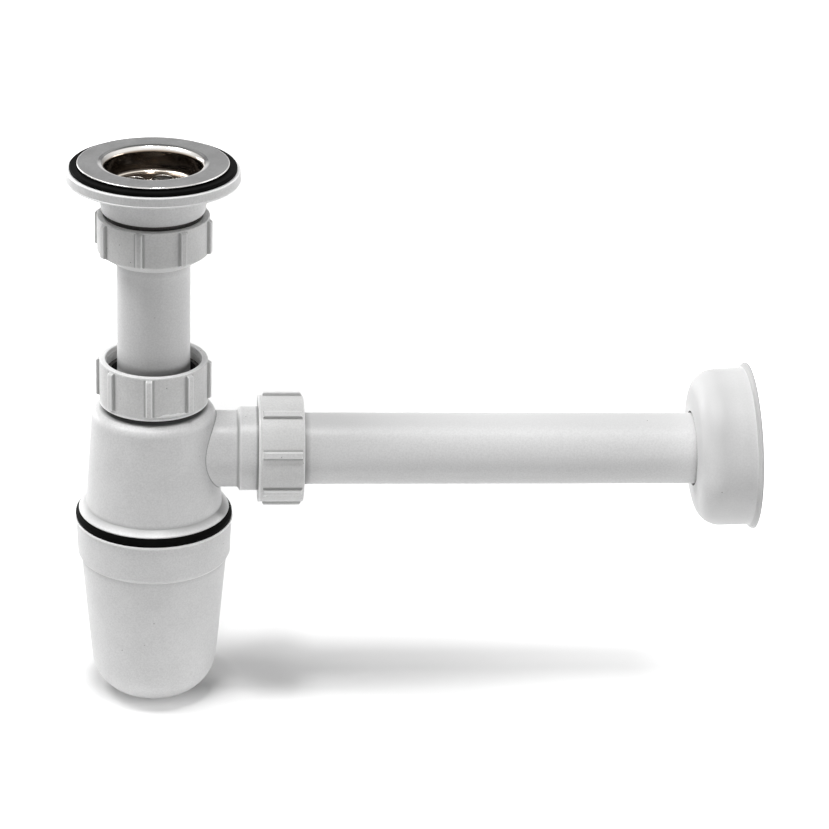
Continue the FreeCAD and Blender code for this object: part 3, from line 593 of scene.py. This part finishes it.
def turned_metal(name, bright, dark, rough):
    """Turned metal with fine rings along its height."""
    material, tree, shader, place = node_material(name)
    shader.inputs["Metallic"].default_value = 1.0
    rings = add_noise(tree, place, 70, 3.0, 0.6, (1.0, 1.0, 40.0))
    tree.links.new(mix_colour(tree, remap(tree, rings, 0.35, 0.65), dark, bright),
                   shader.inputs["Base Color"])
    tree.links.new(remap(tree, rings, 0.3, 0.7, rough - 0.05, rough + 0.08),
                   shader.inputs["Roughness"])
    add_bump(tree, shader, rings, 0.00001)
    return material


# Painted shade on the body under the inlet nut, in the corner and crease at the taper's foot,
# before the branch's step and beside the outlet nut, and a painted highlight on the step's edge
BODY_WHITE = plastic("body_white", grey(0.82), grey(0.72), 0.38, painted_shading=(
    (0.05, 0.92, ("reach", 24.3, 22.6), ("height", -112.2, -111.8), ("height", -106.6, -108.0)),
    (0.42, 0.95, ("reach", 33.0, 30.4), ("height", -156.9, -157.3), ("height", -162.0, -160.5)),
    (0.42, 0.55, ("height", -155.6, -157.1), ("height", -157.4, -157.2)),
    (0.40, 0.75, ("x", 36.2, 36.9), ("x", 37.7, 37.2)),
    (0.93, 0.60, ("x", 37.8, 38.1), ("x", 38.9, 38.5)),
    (0.25, 0.75, ("x", 44.9, 45.6), ("x", 49.0, 47.6))))
# The branch's fillet is painted darker as shade in its crease
BODY_CREASE_SHADE = plastic("body_crease_shade", grey(0.50), grey(0.42), 0.5)
# Painted shade just below the bead at the foot of the cup's collar
CUP_WHITE = plastic("cup_white", grey(0.83), grey(0.73), 0.42, 1.2, painted_shading=(
    (0.50, 0.45, ("height", -185.2, -182.7), ("height", -182.5, -182.6)),))
# The nuts' ribs carry painted shade in their corners and painted highlights on their crests
WASTE_NUT_WHITE = plastic("waste_nut_white", (0.80, 0.80, 0.795), (0.70, 0.70, 0.695), 0.45, 1.4,
                          ribs=("Z", WASTE_NUT_TURN, -36.4, -21.0, WASTE_NUT_R))
INLET_NUT_WHITE = plastic("inlet_nut_white", (0.80, 0.80, 0.795), (0.70, 0.70, 0.695), 0.45, 1.4,
                          ribs=("Z", INLET_NUT_TURN, -105.8, -88.4, NUT_R))
OUTLET_NUT_WHITE = plastic("outlet_nut_white", (0.83, 0.83, 0.825), (0.74, 0.74, 0.735), 0.45,
                           1.4, ribs=("X", OUTLET_NUT_TURN, 48.1, 65.5, NUT_R))
# Paler white for the moulding flash, also used for painted highlights on beads, rims and edges
FLASH_AND_HIGHLIGHT_WHITE = plastic("flash_and_highlight_white", grey(0.96), grey(0.90), 0.35)
WASTE_WHITE = plastic("waste_white", grey(0.79), grey(0.69), 0.43, 1.2)
# Painted shade on the inlet pipe inside the inlet nut's mouth and just below the waste nut
PIPE_WHITE = plastic("pipe_white", grey(0.81), grey(0.72), 0.42, 1.0, (1.0, 1.0, 0.08), 0.14,
                     painted_shading=((0.30, 0.80, ("height", -85.8, -89.8), ("height", -93.0, -90.0)),
                             (0.40, 0.50, ("height", -44.5, -41.0), ("height", -40.5, -40.7))))
# Painted shade along the top of the outlet pipe and beside the outlet nut's rim
LONG_PIPE_WHITE = plastic("long_pipe_white", grey(0.84), grey(0.75), 0.44, 1.0, (0.08, 1.0, 1.0),
                          0.14, painted_shading=((0.64, 0.70, ("height", -119.5, -115.8)),
                                        (0.30, 0.70, ("x", 69.5, 66.6), ("x", 61.5, 65.0))))
# Painted shade on the rosette's shoulder and top, and painted light on its lower part
ROSETTE_WHITE = plastic("rosette_white", grey(0.80), grey(0.74), 0.44, 0.5, painted_shading=(
    (0.60, 0.75, ("x", 258.0, 250.0), ("height", -132.0, -112.0)),
    (0.70, 0.40, ("height", -110.0, -97.0)),
    (0.93, 0.85, ("height", -140.0, -168.0))))
# The rosette's rim is painted darker as shade, with painted light on its lower part
ROSETTE_RIM_WHITE = plastic("rosette_rim_white", grey(0.70), grey(0.64), 0.45, 0.5, painted_shading=(
    (0.50, 0.90, ("height", -140.0, -98.0)),
    (0.93, 0.85, ("height", -144.0, -168.0))))
RING_WHITE = plastic("ring_white", grey(0.76), grey(0.70), 0.5)
SHADED_PLASTIC = plastic("shaded_plastic", (0.11, 0.105, 0.10), (0.07, 0.067, 0.063), 0.6)
GASKET_BLACK = rubber("gasket_black", 0.003, 0.55)
SEAL_BLACK = rubber("seal_black", 0.005, 0.55)
STEEL = pressed_steel("pressed_steel")
SCREW_STEEL = turned_metal("screw_steel", (0.42, 0.40, 0.37), (0.26, 0.24, 0.22), 0.26)
BRASS = turned_metal("insert_brass", (0.78, 0.60, 0.30), (0.66, 0.49, 0.22), 0.32)


# Strainer and its screw

def circle(radius, level, count, centre=(0.0, 0.0)):
    return [(centre[0] + radius * math.cos(2 * math.pi * k / count),
             centre[1] + radius * math.sin(2 * math.pi * k / count), level)
            for k in range(count)]


HOLE_COUNT = 6
HOLE_STEP = 360 // HOLE_COUNT
HOLE_TURN = 11
HOLE_CIRCLE = 12.3
HOLE_R = 4.3
HOLE_EDGE = 0.35
HOLE_MARGIN = 0.12
SCREW_HOLE_R = 3.25


def hole_centre(degrees):
    angle = math.radians(degrees)
    return HOLE_CIRCLE * math.cos(angle), HOLE_CIRCLE * math.sin(angle)


def hole_wall(radius, top, bottom, centre, count):
    """Rings of one punched hole, from the sheet's upper face round to its lower face."""
    rings = [circle(radius + HOLE_EDGE + HOLE_MARGIN, top, count, centre)]
    for step in range(6):
        angle = math.radians(90 * step / 5)
        rings.append(circle(radius + HOLE_EDGE * (1 - math.sin(angle)),
                            top - HOLE_EDGE * (1 - math.cos(angle)), count, centre))
    rings.append(circle(radius, bottom + 0.1, count, centre))
    rings.append(circle(radius + 0.1, bottom, count, centre))
    rings.append(circle(radius + HOLE_EDGE + HOLE_MARGIN, bottom, count, centre))
    return rings


def pierced_disc(outer, holes, level, count):
    """Flat disc at a level with round holes, cut into triangles."""
    points = [Vector(point[:2]) for point in circle(outer, level, count)]
    edges = [(k, (k + 1) % count) for k in range(count)]
    for radius, centre, steps in holes:
        offset = len(points)
        points += [Vector(point[:2]) for point in circle(radius, level, steps, centre)]
        edges += [(offset + k, offset + (k + 1) % steps) for k in range(steps)]
    found, _, faces, *_ = delaunay_2d_cdt(points, edges, [], 1, 1e-6)
    kept = []
    for face in faces:
        middle = sum((found[index] for index in face), Vector((0, 0))) / len(face)
        if all((middle - Vector(centre)).length > radius for radius, centre, _ in holes):
            kept.append(list(face))
    return Shell().add([(point.x, point.y, level) for point in found], kept)


def make_strainer():
    sheet = 0.8
    top = -8.5
    floor_edge = 18.4
    shell = revolve([
        (floor_edge, top), (20.7, top, 1.8), (20.7, 3.2, 3.2), (31.9, 3.2, 0.5),
        (32.6, 2.95, 0.25), (32.6, 2.4, 0.12), (21.5, 2.4, 2.2), (21.5, top - sheet, 2.6),
        (floor_edge, top - sheet)], closed=False, bend_step=8.0)
    holes = [(HOLE_R, hole_centre(HOLE_TURN + HOLE_STEP * number), 44)
             for number in range(HOLE_COUNT)]
    holes.append((SCREW_HOLE_R, (0.0, 0.0), 36))
    for radius, centre, count in holes:
        shell.grid(hole_wall(radius, top, top - sheet, centre, count))
    widened = [(radius + HOLE_EDGE + HOLE_MARGIN, centre, count)
               for radius, centre, count in holes]
    shell.join(pierced_disc(floor_edge, widened, top, SEGMENTS))
    shell.join(pierced_disc(floor_edge, widened, top - sheet, SEGMENTS))
    return shell


def make_screw():
    head_foot = -8.45
    shank = revolve([
        (0.0, -36.95), (1.75, -36.95), (2.45, -36.25), (2.45, head_foot), (5.2, head_foot, 0.3),
        (5.2, -6.05, 1.4), (0.0, -6.05)], closed=False, segments=72)
    slot = Shell().add(
        [(x, y, z) for x in (-0.7, 0.7) for y in (-6.0, 6.0) for z in (-7.25, -5.0)],
        [[0, 1, 3, 2], [4, 6, 7, 5], [0, 4, 5, 1], [2, 3, 7, 6], [0, 2, 6, 4], [1, 5, 7, 3]])
    mesh = cut_mesh("screw_head_and_shank", shank, [("DIFFERENCE", slot)])
    ridge = thread(2.45, 0.5, 1.0, -36.3, -10.4, 0.84, 0.2, steps=36)
    return mesh, ridge


def on_hole_edge(x, y, z):
    """True on the rounded edges of the drain holes."""
    turn = round((math.degrees(math.atan2(y, x)) - HOLE_TURN) / HOLE_STEP) * HOLE_STEP + HOLE_TURN
    middle_x, middle_y = hole_centre(turn)
    return math.hypot(x - middle_x, y - middle_y) < HOLE_R + HOLE_EDGE and z > -8.9


dress("strainer_pressing", make_strainer(), "strainer", STEEL, ["strainer"],
      [(SCREW_STEEL, on_hole_edge)])
screw_mesh, screw_ridge = make_screw()
dress("screw_head_and_shank", screw_mesh, "strainer_screw", SCREW_STEEL,
      ["strainer_screw"])
dress("screw_thread", screw_ridge, "strainer_screw", SCREW_STEEL)
dress("strainer_seal_ring", revolve([(23.5, 1.8), (31.4, 1.8, 0.15), (31.4, 2.4, 0.15),
                                     (23.5, 2.4)]),
      "strainer", SEAL_BLACK, ["strainer_seal"])


# Gasket and waste body

dress("basin_gasket_ring", revolve([(23.5, 0.0, 0.3), (35.9, 0.0, 0.7), (35.9, 1.8, 0.8),
                                    (23.5, 1.8, 0.3)]),
      "waste", GASKET_BLACK, ["basin_gasket"])


def spoke(angle):
    """One web between the hub and the spigot, with softened edges."""
    half = 0.9
    soft = 0.25
    inner, outer = 4.9, 17.8
    low, high = -30.4, -18.4
    section = [(-half, low + soft), (-half + soft, low), (half - soft, low), (half, low + soft)]
    rings = []
    for x in (inner, outer):
        drop = 2.0 if x == inner else 0.0
        upper = [(half, high - soft - drop), (half - soft, high - drop),
                 (-half + soft, high - drop), (-half, high - soft - drop)]
        rings.append([(x, y, z) for y, z in section + upper])
    shell = Shell().grid(rings)
    shell.faces.append(list(range(8)))
    shell.faces.append(list(range(15, 7, -1)))
    return shell.moved(Matrix.Rotation(angle, 4, "Z"))


def make_waste():
    shell = revolve([
        (22.8, 0.0), (37.4, 0.0, 0.5), (37.3, -3.8), (37.5, -4.0, 0.1), (37.5, -4.6, 0.35),
        (24.9, -4.6, 1.0), (22.3, -18.6, 0.8), (THREAD_CORE_R, -18.6, 0.4),
        (THREAD_CORE_R, -21.6), (THREAD_CORE_R, -31.9, 0.6), (17.0, -31.9, 0.4),
        (17.0, -15.9, 0.5), (20.3, -15.9, 1.0), (21.95, -9.4, 1.0)], bend_step=10.0)
    shell.join(thread(THREAD_CORE_R, 0.9, NUT_PITCH, -30.9, -19.2, 1.5, 0.6))
    shell.join(revolve([(SCREW_HOLE_R, -30.0), (5.7, -30.0, 0.9), (5.7, -9.4, 0.6),
                        (SCREW_HOLE_R, -9.4, 0.3)], segments=72))
    for number in range(4):
        shell.join(spoke(math.radians(90 * number)))
    return shell


# Painted shade on the spigot in the gap between the bowl and the waste nut, and a painted
# highlight along the lower edge of the flange
dress("waste_moulding", make_waste(), "waste", WASTE_WHITE, ["waste_body"],
      [(SHADED_PLASTIC, lambda x, y, z: -21.7 < z < -18.4 and 19.0 < math.hypot(x, y) < 21.9),
       (FLASH_AND_HIGHLIGHT_WHITE, lambda x, y, z: -4.7 < z < -3.9 and math.hypot(x, y) > 36.9)])
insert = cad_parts["screw_insert"].data
insert.materials.clear()
insert.materials.append(BRASS)
dress("waste_washer", revolve([(16.6, -34.0), (19.4, -34.0, 0.3), (19.4, -32.0, 0.3),
                               (16.6, -32.0)]),
      "waste_seal", SEAL_BLACK, ["waste_seal"])


# Waste nut and inlet pipe

def make_waste_nut():
    foot = WASTE_NUT_FOOT
    outline = smooth_outline([
        (16.4, foot, 0.3), (18.2, foot, 0.7), (WASTE_NUT_R, foot + 4.2, 1.4),
        (WASTE_NUT_R, foot + 20.2, 0.4), (21.5, foot + 20.2, 0.25), (20.9, foot + 19.6),
        (20.9, foot + 3.5), (16.4, foot + 3.5, 0.2)])
    shell = ribbed(outline, foot + 4.4, foot + 19.7, WASTE_NUT_TURN, WASTE_NUT_R)
    return shell.join(thread(20.9, -0.9, NUT_PITCH, foot + 4.8, foot + 19.0, 1.5, 0.6,
                             NUT_PITCH / 2))


# A painted highlight on the inner edge of the waste nut's foot
dress("waste_nut_moulding", make_waste_nut(), "waste_nut", WASTE_NUT_WHITE,
      ["waste_nut"],
      [(FLASH_AND_HIGHLIGHT_WHITE, lambda x, y, z: z < WASTE_NUT_FOOT + 0.8 and 16.9 < math.hypot(x, y) < 19.2)])
dress("inlet_tube", revolve([(14.1, -34.1), (19.4, -34.1, 0.5), (19.4, -37.1, 0.6),
                             (16.0, -37.1, 0.4), (16.0, -198.5, 0.6), (14.1, -198.5, 0.6)]),
      "inlet_pipe", PIPE_WHITE, ["inlet_pipe"])


# Slip joints: each is built about its own axis, from the free end of the socket upward

def slip_nut(turn):
    """Nut from its foot at 0 up to its open rim."""
    outline = smooth_outline([
        (21.5, 0.0, 0.2), (NUT_R + 0.2, 0.0, 0.3), (NUT_R + 0.2, 0.75, 0.3), (NUT_R - 0.03, 1.15),
        (NUT_R, 1.4), (NUT_R, 20.3, 1.0), (21.1, 20.3, 0.7), (20.75, 13.8, 0.3),
        (19.5, 13.8, 0.3), (19.5, 11.3, 0.3), (20.9, 11.3), (20.9, 0.6)])
    shell = ribbed(outline, 2.0, 19.4, turn)
    shell.join(thread(20.9, -0.35, NUT_PITCH, 1.0, 6.1, 1.3, 0.7))
    return shell.join(thread(20.98, -0.16, 1.9, 15.4, 18.6, 0.7, 0.3))


def shaded_recess(level, laid):
    """Test for the inner lip of a slip nut whose foot is at a level along its axis, which is
    painted dark as shade.
    """
    def test(x, y, z):
        along = x if laid else z
        across = z - OUTLET_LEVEL if laid else x
        return 10.9 < along - level < 14.5 and math.hypot(across, y) < 21.0
    return test


def on_the_bead(level, laid):
    """Test for a slip nut's foot bead and upper rim, which get a painted highlight."""
    def test(x, y, z):
        along = (x if laid else z) - level
        reach = math.hypot(z - OUTLET_LEVEL if laid else x, y)
        return along < 0.85 and reach > 23.6 or along > 20.0 and reach > 21.3
    return test


def cone_seal():
    """Seal above and below the socket's end at 0."""
    return revolve([
        (16.2, -3.0), (16.7, -3.0, 0.2), (18.9, 0.0, 0.2), (18.9, 0.1), (20.5, 0.1, 0.3),
        (20.5, 2.9, 0.3), (19.2, 2.9, 0.4), (19.2, 7.4, 0.9), (17.3, 7.4, 0.3),
        (16.9, 6.6, 0.3), (16.2, 6.6, 0.3)], bend_step=30.0, segments=96)


def slip_ring():
    return revolve([(19.5, 3.0, 0.2), (20.6, 3.0, 0.3), (20.6, 4.2, 0.3), (19.5, 4.2, 0.2)])


def slip_joint(side, laid, socket, foot, turn, white, ragged):
    """Seal, slip ring, nut and moulding flash of one side, upright or laid along the outlet."""
    lay = LAY if laid else Matrix()
    at_socket = lay @ Matrix.Translation((0, 0, socket))
    at_foot = lay @ Matrix.Translation((0, 0, foot))
    dress(f"{side}_cone_seal", cone_seal().moved(at_socket), "trap_body", SEAL_BLACK,
          [f"{side}_seal"])
    dress(f"{side}_ring", slip_ring().moved(at_socket), f"{side}_slip_ring", RING_WHITE,
          [f"{side}_slip_ring"])
    # Each nut's inner lip is painted dark as shade, and its foot bead and upper rim get a painted
    # highlight
    dress(f"{side}_nut_moulding", slip_nut(turn).moved(at_foot), f"{side}_nut", white,
          [f"{side}_nut"],
          [(SHADED_PLASTIC, shaded_recess(foot, laid)), (FLASH_AND_HIGHLIGHT_WHITE, on_the_bead(foot, laid))])
    dress(f"{side}_nut_flash", ragged.moved(at_foot), f"{side}_nut", FLASH_AND_HIGHLIGHT_WHITE)


slip_joint("inlet", False, INLET_SOCKET, INLET_NUT_FOOT, INLET_NUT_TURN, INLET_NUT_WHITE,
           flash(NUT_R, level=1.7, start=-88, end=-52, height=1.2, seed=40.5))
slip_joint("outlet", True, OUTLET_SOCKET, OUTLET_NUT_FOOT, OUTLET_NUT_TURN, OUTLET_NUT_WHITE,
           flash(NUT_R, level=2.2, start=-62, end=-50, height=1.6, seed=27.7))
dress("outlet_tube", revolve([(14.1, 40.5, 0.6), (16.0, 40.5, 0.6), (16.0, 262.0, 0.6),
                              (14.1, 262.0, 0.6)]).moved(LAY),
      "outlet_pipe", LONG_PIPE_WHITE, ["outlet_pipe"])


# Bottle body with its branch, and the fillet between them

BRANCH_R = 17.1
FILLET = 0.45
TAPER_TOP = (27.27, -112.5)
TAPER_FOOT = (30.3, -157.2)


def taper_radius(z):
    share = (TAPER_TOP[1] - z) / (TAPER_TOP[1] - TAPER_FOOT[1])
    return TAPER_TOP[0] + (TAPER_FOOT[0] - TAPER_TOP[0]) * share


def branch_fillet():
    """Rolling-ball fillet between the tapered body and the branch, with exact normals."""
    slope = math.atan2(TAPER_FOOT[0] - TAPER_TOP[0], TAPER_TOP[1] - TAPER_FOOT[1])
    around, across = 220, 6
    sunk = 0.004
    rings, normals = [], []
    for step in range(around):
        angle = 2 * math.pi * step / around
        radial = Vector((0, math.cos(angle), math.sin(angle)))
        reach = BRANCH_R + FILLET
        y = reach * radial.y
        z = OUTLET_LEVEL + reach * radial.z
        wide = taper_radius(z) + FILLET / math.cos(slope)
        centre = Vector((math.sqrt(wide * wide - y * y), y, z))
        level = math.atan2(centre.y, centre.x)
        outward = Vector((math.cos(level) * math.cos(slope), math.sin(level) * math.cos(slope),
                          math.sin(slope)))
        ring, ring_normals = [], []
        for part in range(across + 1):
            share = part / across
            direction = (-radial).slerp(-outward, share)
            ring.append(centre + direction * (FILLET - sunk))
            ring_normals.append(-direction)
        rings.append(ring)
        normals.append(ring_normals)
    shell = Shell().grid(rings, round_trip=False, along_trip=True)
    mesh = bpy.data.meshes.new("branch_fillet")
    mesh.from_pydata([point * MM for point in shell.points], [], shell.faces)
    mesh.shade_smooth()
    mesh.normals_split_custom_set_from_vertices([n for ring in normals for n in ring])
    return mesh


def make_body():
    core = THREAD_CORE_R
    outer = revolve([
        (0.0, INLET_SOCKET), (core, INLET_SOCKET, 0.6), (core, -108.9, 0.5), (21.0, -109.2),
        (*TAPER_TOP, 4.0), (*TAPER_FOOT, 0.4), (33.5, -159.5, 0.3), (33.5, -160.0, 0.1),
        (31.1, -160.0, 0.3), (30.2, -161.2, 0.4), (30.2, -174.4, 0.9), (0.0, -174.4)],
        closed=False, bend_step=9.0)
    branch = revolve([
        (0.0, 12.0), (BRANCH_R, 12.0), (BRANCH_R, 37.0, 0.4), (18.7, 38.0, 0.4), (18.7, 47.5, 0.2),
        (core, 47.5, 0.3), (core, OUTLET_SOCKET, 0.6), (0.0, OUTLET_SOCKET)],
        closed=False).moved(LAY)
    chamber = revolve([
        (0.0, -176.4), (28.0, -176.4), (28.0, -160.0, 2.0), (27.85, -157.2, 2.0),
        (24.45, -111.3, 3.8), (18.5, -111.3, 0.9), (18.5, -118.3, 0.5), (16.3, -118.3, 0.4),
        (16.3, -104.4), (19.0, INLET_SOCKET), (19.0, -99.0), (0.0, -99.0)], closed=False)
    bore = revolve([
        (0.0, 20.0), (14.9, 20.0), (14.9, 38.0, 0.3), (16.3, 38.0), (16.3, 49.5),
        (19.0, OUTLET_SOCKET), (19.0, 55.0), (0.0, 55.0)], closed=False).moved(LAY)
    return cut_mesh("trap_body_moulding", outer,
                    [("UNION", branch), ("DIFFERENCE", chamber), ("DIFFERENCE", bore)])


dress("trap_body_moulding", make_body(), "trap_body", BODY_WHITE, ["trap_body"])
# The fillet takes the crease material, painted darker as shade
dress("branch_fillet", branch_fillet(), "trap_body", BODY_CREASE_SHADE)
body_threads = thread(THREAD_CORE_R, 0.7, NUT_PITCH, -107.2, -101.9, 1.4, 0.6)
body_threads.join(thread(THREAD_CORE_R, 0.7, NUT_PITCH, 48.5, 52.2, 1.4, 0.6).moved(LAY))
body_threads.join(thread(30.2, 1.1, CUP_PITCH, -173.2, -163.6, 1.9, 0.8))
dress("trap_body_threads", body_threads, "trap_body", BODY_WHITE)


# Cup and its ring

dress("cup_ring", revolve([
    (31.4, -163.3), (33.2, -163.3), (33.3, -163.75), (34.7, -163.75, 0.3), (35.0, -161.9, 1.5),
    (33.8, -160.1, 0.3), (31.4, -160.1)]),
      "cup_seal", GASKET_BLACK, ["cup_seal"])


def make_cup():
    top = -163.4
    foot = FLOOR_LEVEL
    shell = revolve([
        (0.0, foot + 0.45), (1.3, foot + 0.45, 0.2), (1.7, foot + 0.75, 0.2),
        (4.2, foot + 0.75, 0.3), (4.8, foot, 0.3), (26.7, foot, 20.0), (32.7, top - 19.15),
        (33.3, top - 19.0, 0.15), (33.3, top - 18.6, 0.15), (33.15, top - 18.45),
        (34.2, top - 18.2, 1.6), (34.7, top - 1.55), (35.15, top - 1.35, 0.2),
        (35.15, top - 0.4, 0.3), (33.3, top - 0.4), (33.1, top), (32.4, top - 0.6),
        (32.4, top - 15.5), (30.55, top - 19.5, 2.0), (24.5, foot + 2.2, 17.8),
        (0.0, foot + 2.2)], closed=False, bend_step=6.0)
    return shell.join(thread(32.4, -1.1, CUP_PITCH, top - 14.2, top - 2.2, 1.9, 0.8,
                             CUP_PITCH / 2))


def on_the_cup_beads(x, y, z):
    """True on the beads at the cup's mouth and at the foot of its collar, which get a painted
    highlight.
    """
    reach = math.hypot(x, y)
    return z > -165.0 and reach > 34.75 or -182.6 < z < -181.85 and 32.9 < reach < 33.6


dress("cup_moulding", make_cup(), "cup", CUP_WHITE, ["cup"],
      [(FLASH_AND_HIGHLIGHT_WHITE, on_the_cup_beads)])


# Rosette

ROSETTE_FACE = 243.8
rosette = revolve([
    (16.5, ROSETTE_FACE, 0.4), (35.1, 245.4, 10.5), (35.6, 268.2, 0.9), (36.9, 268.7, 0.6),
    (37.6, 269.5, 0.25), (37.6, 270.2, 0.25), (34.7, 270.2, 0.4), (34.1, 268.2, 1.5),
    (33.6, 246.9, 9.0), (16.5, 245.3, 0.4)], bend_step=6.0)
# The loose cover leans a little on its pipe, as in the photograph, and is set inward by as much
# as keeps it inside its box
LEAN = math.radians(-3.0)
SET_INWARD = Vector((2.0, 0, 0))
HINGE = Vector((ROSETTE_FACE, 0, OUTLET_LEVEL))
LEANING = (Matrix.Translation(HINGE - SET_INWARD) @ Matrix.Rotation(LEAN, 4, "Y")
           @ Matrix.Translation(-HINGE))
UPRIGHT = (LEANING @ LAY).inverted()


def rosette_place(x, y, z):
    """Distance from the cover's own axis and place along it."""
    point = UPRIGHT @ Vector((x, y, z))
    return math.hypot(point.x, point.y), point.z


# The hole's edge and wall are painted dark as shade where the pipe passes through
def in_the_hole(x, y, z):
    return rosette_place(x, y, z)[0] < 16.95


# The rim takes the rim material, painted darker as shade
def on_the_rim(x, y, z):
    reach, along = rosette_place(x, y, z)
    return reach > 35.4 and along > 267.9


dress("rosette_cover", rosette.moved(LEANING @ LAY), "rosette", ROSETTE_WHITE,
      ["rosette"], [(SHADED_PLASTIC, in_the_hole), (ROSETTE_RIM_WHITE, on_the_rim)])


# Camera, set to the photograph's view of 829 by 829

FOCAL_PIXELS = 2982.0
IMAGE_SIDE = 829
SENSOR_WIDTH = 36.0
TURN, PITCH, ROLL = (math.radians(angle) for angle in (5.13, 24.18, 2.14))
TARGET = Vector((0.0, 0.0, -0.1635))
TARGET_PIXEL = (154.0, 512.6)
DISTANCE = 1.340

forward = Vector((math.sin(TURN) * math.cos(PITCH), math.cos(TURN) * math.cos(PITCH),
                  -math.sin(PITCH)))
level_right = Vector((math.cos(TURN), -math.sin(TURN), 0.0))
level_up = level_right.cross(forward)
right = math.cos(ROLL) * level_right + math.sin(ROLL) * level_up
up = -math.sin(ROLL) * level_right + math.cos(ROLL) * level_up
across = (TARGET_PIXEL[0] - IMAGE_SIDE / 2) / FOCAL_PIXELS * DISTANCE
above = -(TARGET_PIXEL[1] - IMAGE_SIDE / 2) / FOCAL_PIXELS * DISTANCE
eye = TARGET - across * right - above * up - DISTANCE * forward

camera_data = bpy.data.cameras.new("camera")
camera_data.sensor_width = SENSOR_WIDTH
camera_data.sensor_fit = "HORIZONTAL"
camera_data.lens = FOCAL_PIXELS / IMAGE_SIDE * SENSOR_WIDTH
camera_data.clip_end = 20.0
camera = new_object("camera", camera_data)
pose = Matrix((right, up, -forward)).transposed().to_4x4()
pose.translation = eye
camera.matrix_world = pose
bpy.context.scene.camera = camera


# Floor, world and lamps

def seen_directly(tree):
    """One for what the camera sees, also in a reflection or through something clear."""
    path = tree.nodes.new("ShaderNodeLightPath")
    return math_node(tree, "MAXIMUM", path.outputs["Is Camera Ray"],
                     math_node(tree, "MAXIMUM", path.outputs["Is Glossy Ray"],
                               path.outputs["Is Transmission Ray"]))


def paper_material():
    """White floor that keeps the cast shadow, with a painted contact shadow round the cup; away
    from the object it fades into plain white.
    """
    material, tree, shader, place = node_material("paper_floor")
    shader.inputs["Roughness"].default_value = 0.9
    shader.inputs["Specular IOR Level"].default_value = 0.0
    shader.inputs["Emission Color"].default_value = (1.0, 1.0, 1.0, 1.0)
    parts = place_parts(tree, place)
    distance, _ = polar_coordinates(tree, place)
    seen = seen_directly(tree)
    bounce = remap(tree, distance, 0.15, 0.8, 0.85, 0.12)
    painted_contact_shadow = remap(tree, distance, 0.026, 0.042, 0.70, 0.95)
    tree.links.new(mix_colour(tree, seen, bounce, painted_contact_shadow), shader.inputs["Base Color"])
    fibre = add_noise(tree, place, 400, 4.0, 0.7)
    add_bump(tree, shader, fibre, 0.00001)
    # Glow seen only by the camera: painted light that lifts the cast shadow towards the wall and
    # beside the cup, and plain white far away
    toward_wall = math_node(tree, "ADD", remap(tree, parts["X"], 0.045, 0.28, 0.0, 0.47),
                            remap(tree, parts["X"], 0.225, 0.265, 0.0, 0.25))
    around = length(tree, parts["X"], math_node(tree, "SUBTRACT", parts["Y"], 0.013))
    to_the_left = product(tree, remap(tree, around, 0.0265, 0.036, 0.0, 0.42),
                          remap(tree, parts["X"], -0.016, 0.0, 1.0, 0.0))
    to_the_front = remap(tree, parts["Y"], -0.021, -0.002, 0.36, 0.0)
    beside = math_node(tree, "MAXIMUM", to_the_left, to_the_front)
    afar = remap(tree, distance, 0.3, 1.2)
    glow = math_node(tree, "ADD", math_node(tree, "MAXIMUM", toward_wall, beside), afar)
    tree.links.new(product(tree, seen, glow), shader.inputs["Emission Strength"])
    return material


def make_floor():
    half = 6.0
    gap = 0.0001
    level = FLOOR_LEVEL * MM - gap
    mesh = bpy.data.meshes.new("floor")
    mesh.from_pydata([(-half, -half, level), (half, -half, level), (half, half, level),
                      (-half, half, level)], [], [[0, 1, 2, 3]])
    floor = new_object("floor", mesh)
    mesh.materials.append(paper_material())


def lamp(name, place, target, size, power, spread=180.0):
    data = bpy.data.lights.new(name, "AREA")
    data.spread = math.radians(spread)
    data.shape = "RECTANGLE"
    data.size, data.size_y = size
    data.energy = power
    aim = (Vector(target) - Vector(place)).to_track_quat("-Z", "Y")
    new_object(name, data).matrix_world = Matrix.Translation(place) @ aim.to_matrix().to_4x4()


def make_world():
    """White to the camera and in reflections, and a plain grey light otherwise."""
    world = bpy.data.worlds.new("studio")
    bpy.context.scene.world = world
    world.use_nodes = True
    tree = world.node_tree
    background = tree.nodes["Background"]
    background.inputs["Color"].default_value = (1.0, 1.0, 1.0, 1.0)
    tree.links.new(remap(tree, seen_directly(tree), 0.0, 1.0, 0.15, 1.0),
                   background.inputs["Strength"])


make_floor()
make_world()
MIDDLE = (0.10, 0.0, -0.15)
lamp("key_overhead", (0.05, -0.155, 0.75), (0.05, 0.0, -0.25), (0.10, 0.16), 3.7)
lamp("fill_upper_left", (-0.5, 0.0, 0.75), (0.0, 0.0, -0.2), (0.4, 0.4), 5.7)
lamp("fill_upper_back", (0.10, 0.9, 0.75), MIDDLE, (1.2, 0.5), 2.0)
lamp("fill_right", (1.4, 0.0, 0.0), MIDDLE, (0.8, 0.5), 5.6)
lamp("fill_back_left", (-0.9, 1.0, 0.1), MIDDLE, (0.8, 0.6), 7.0)
lamp("fill_front_low", (0.1, -1.2, -0.15), MIDDLE, (1.6, 0.18), 1.8)
lamp("sparkle_left", (-1.2, 0.2, -0.2), MIDDLE, (0.12, 0.12), 0.5)
lamp("fill_by_the_wall", (0.42, -0.58, -0.02), (0.255, 0.0, -0.13), (0.16, 0.16), 0.018, 40.0)
bpy.context.scene.view_settings.view_transform = "Standard"
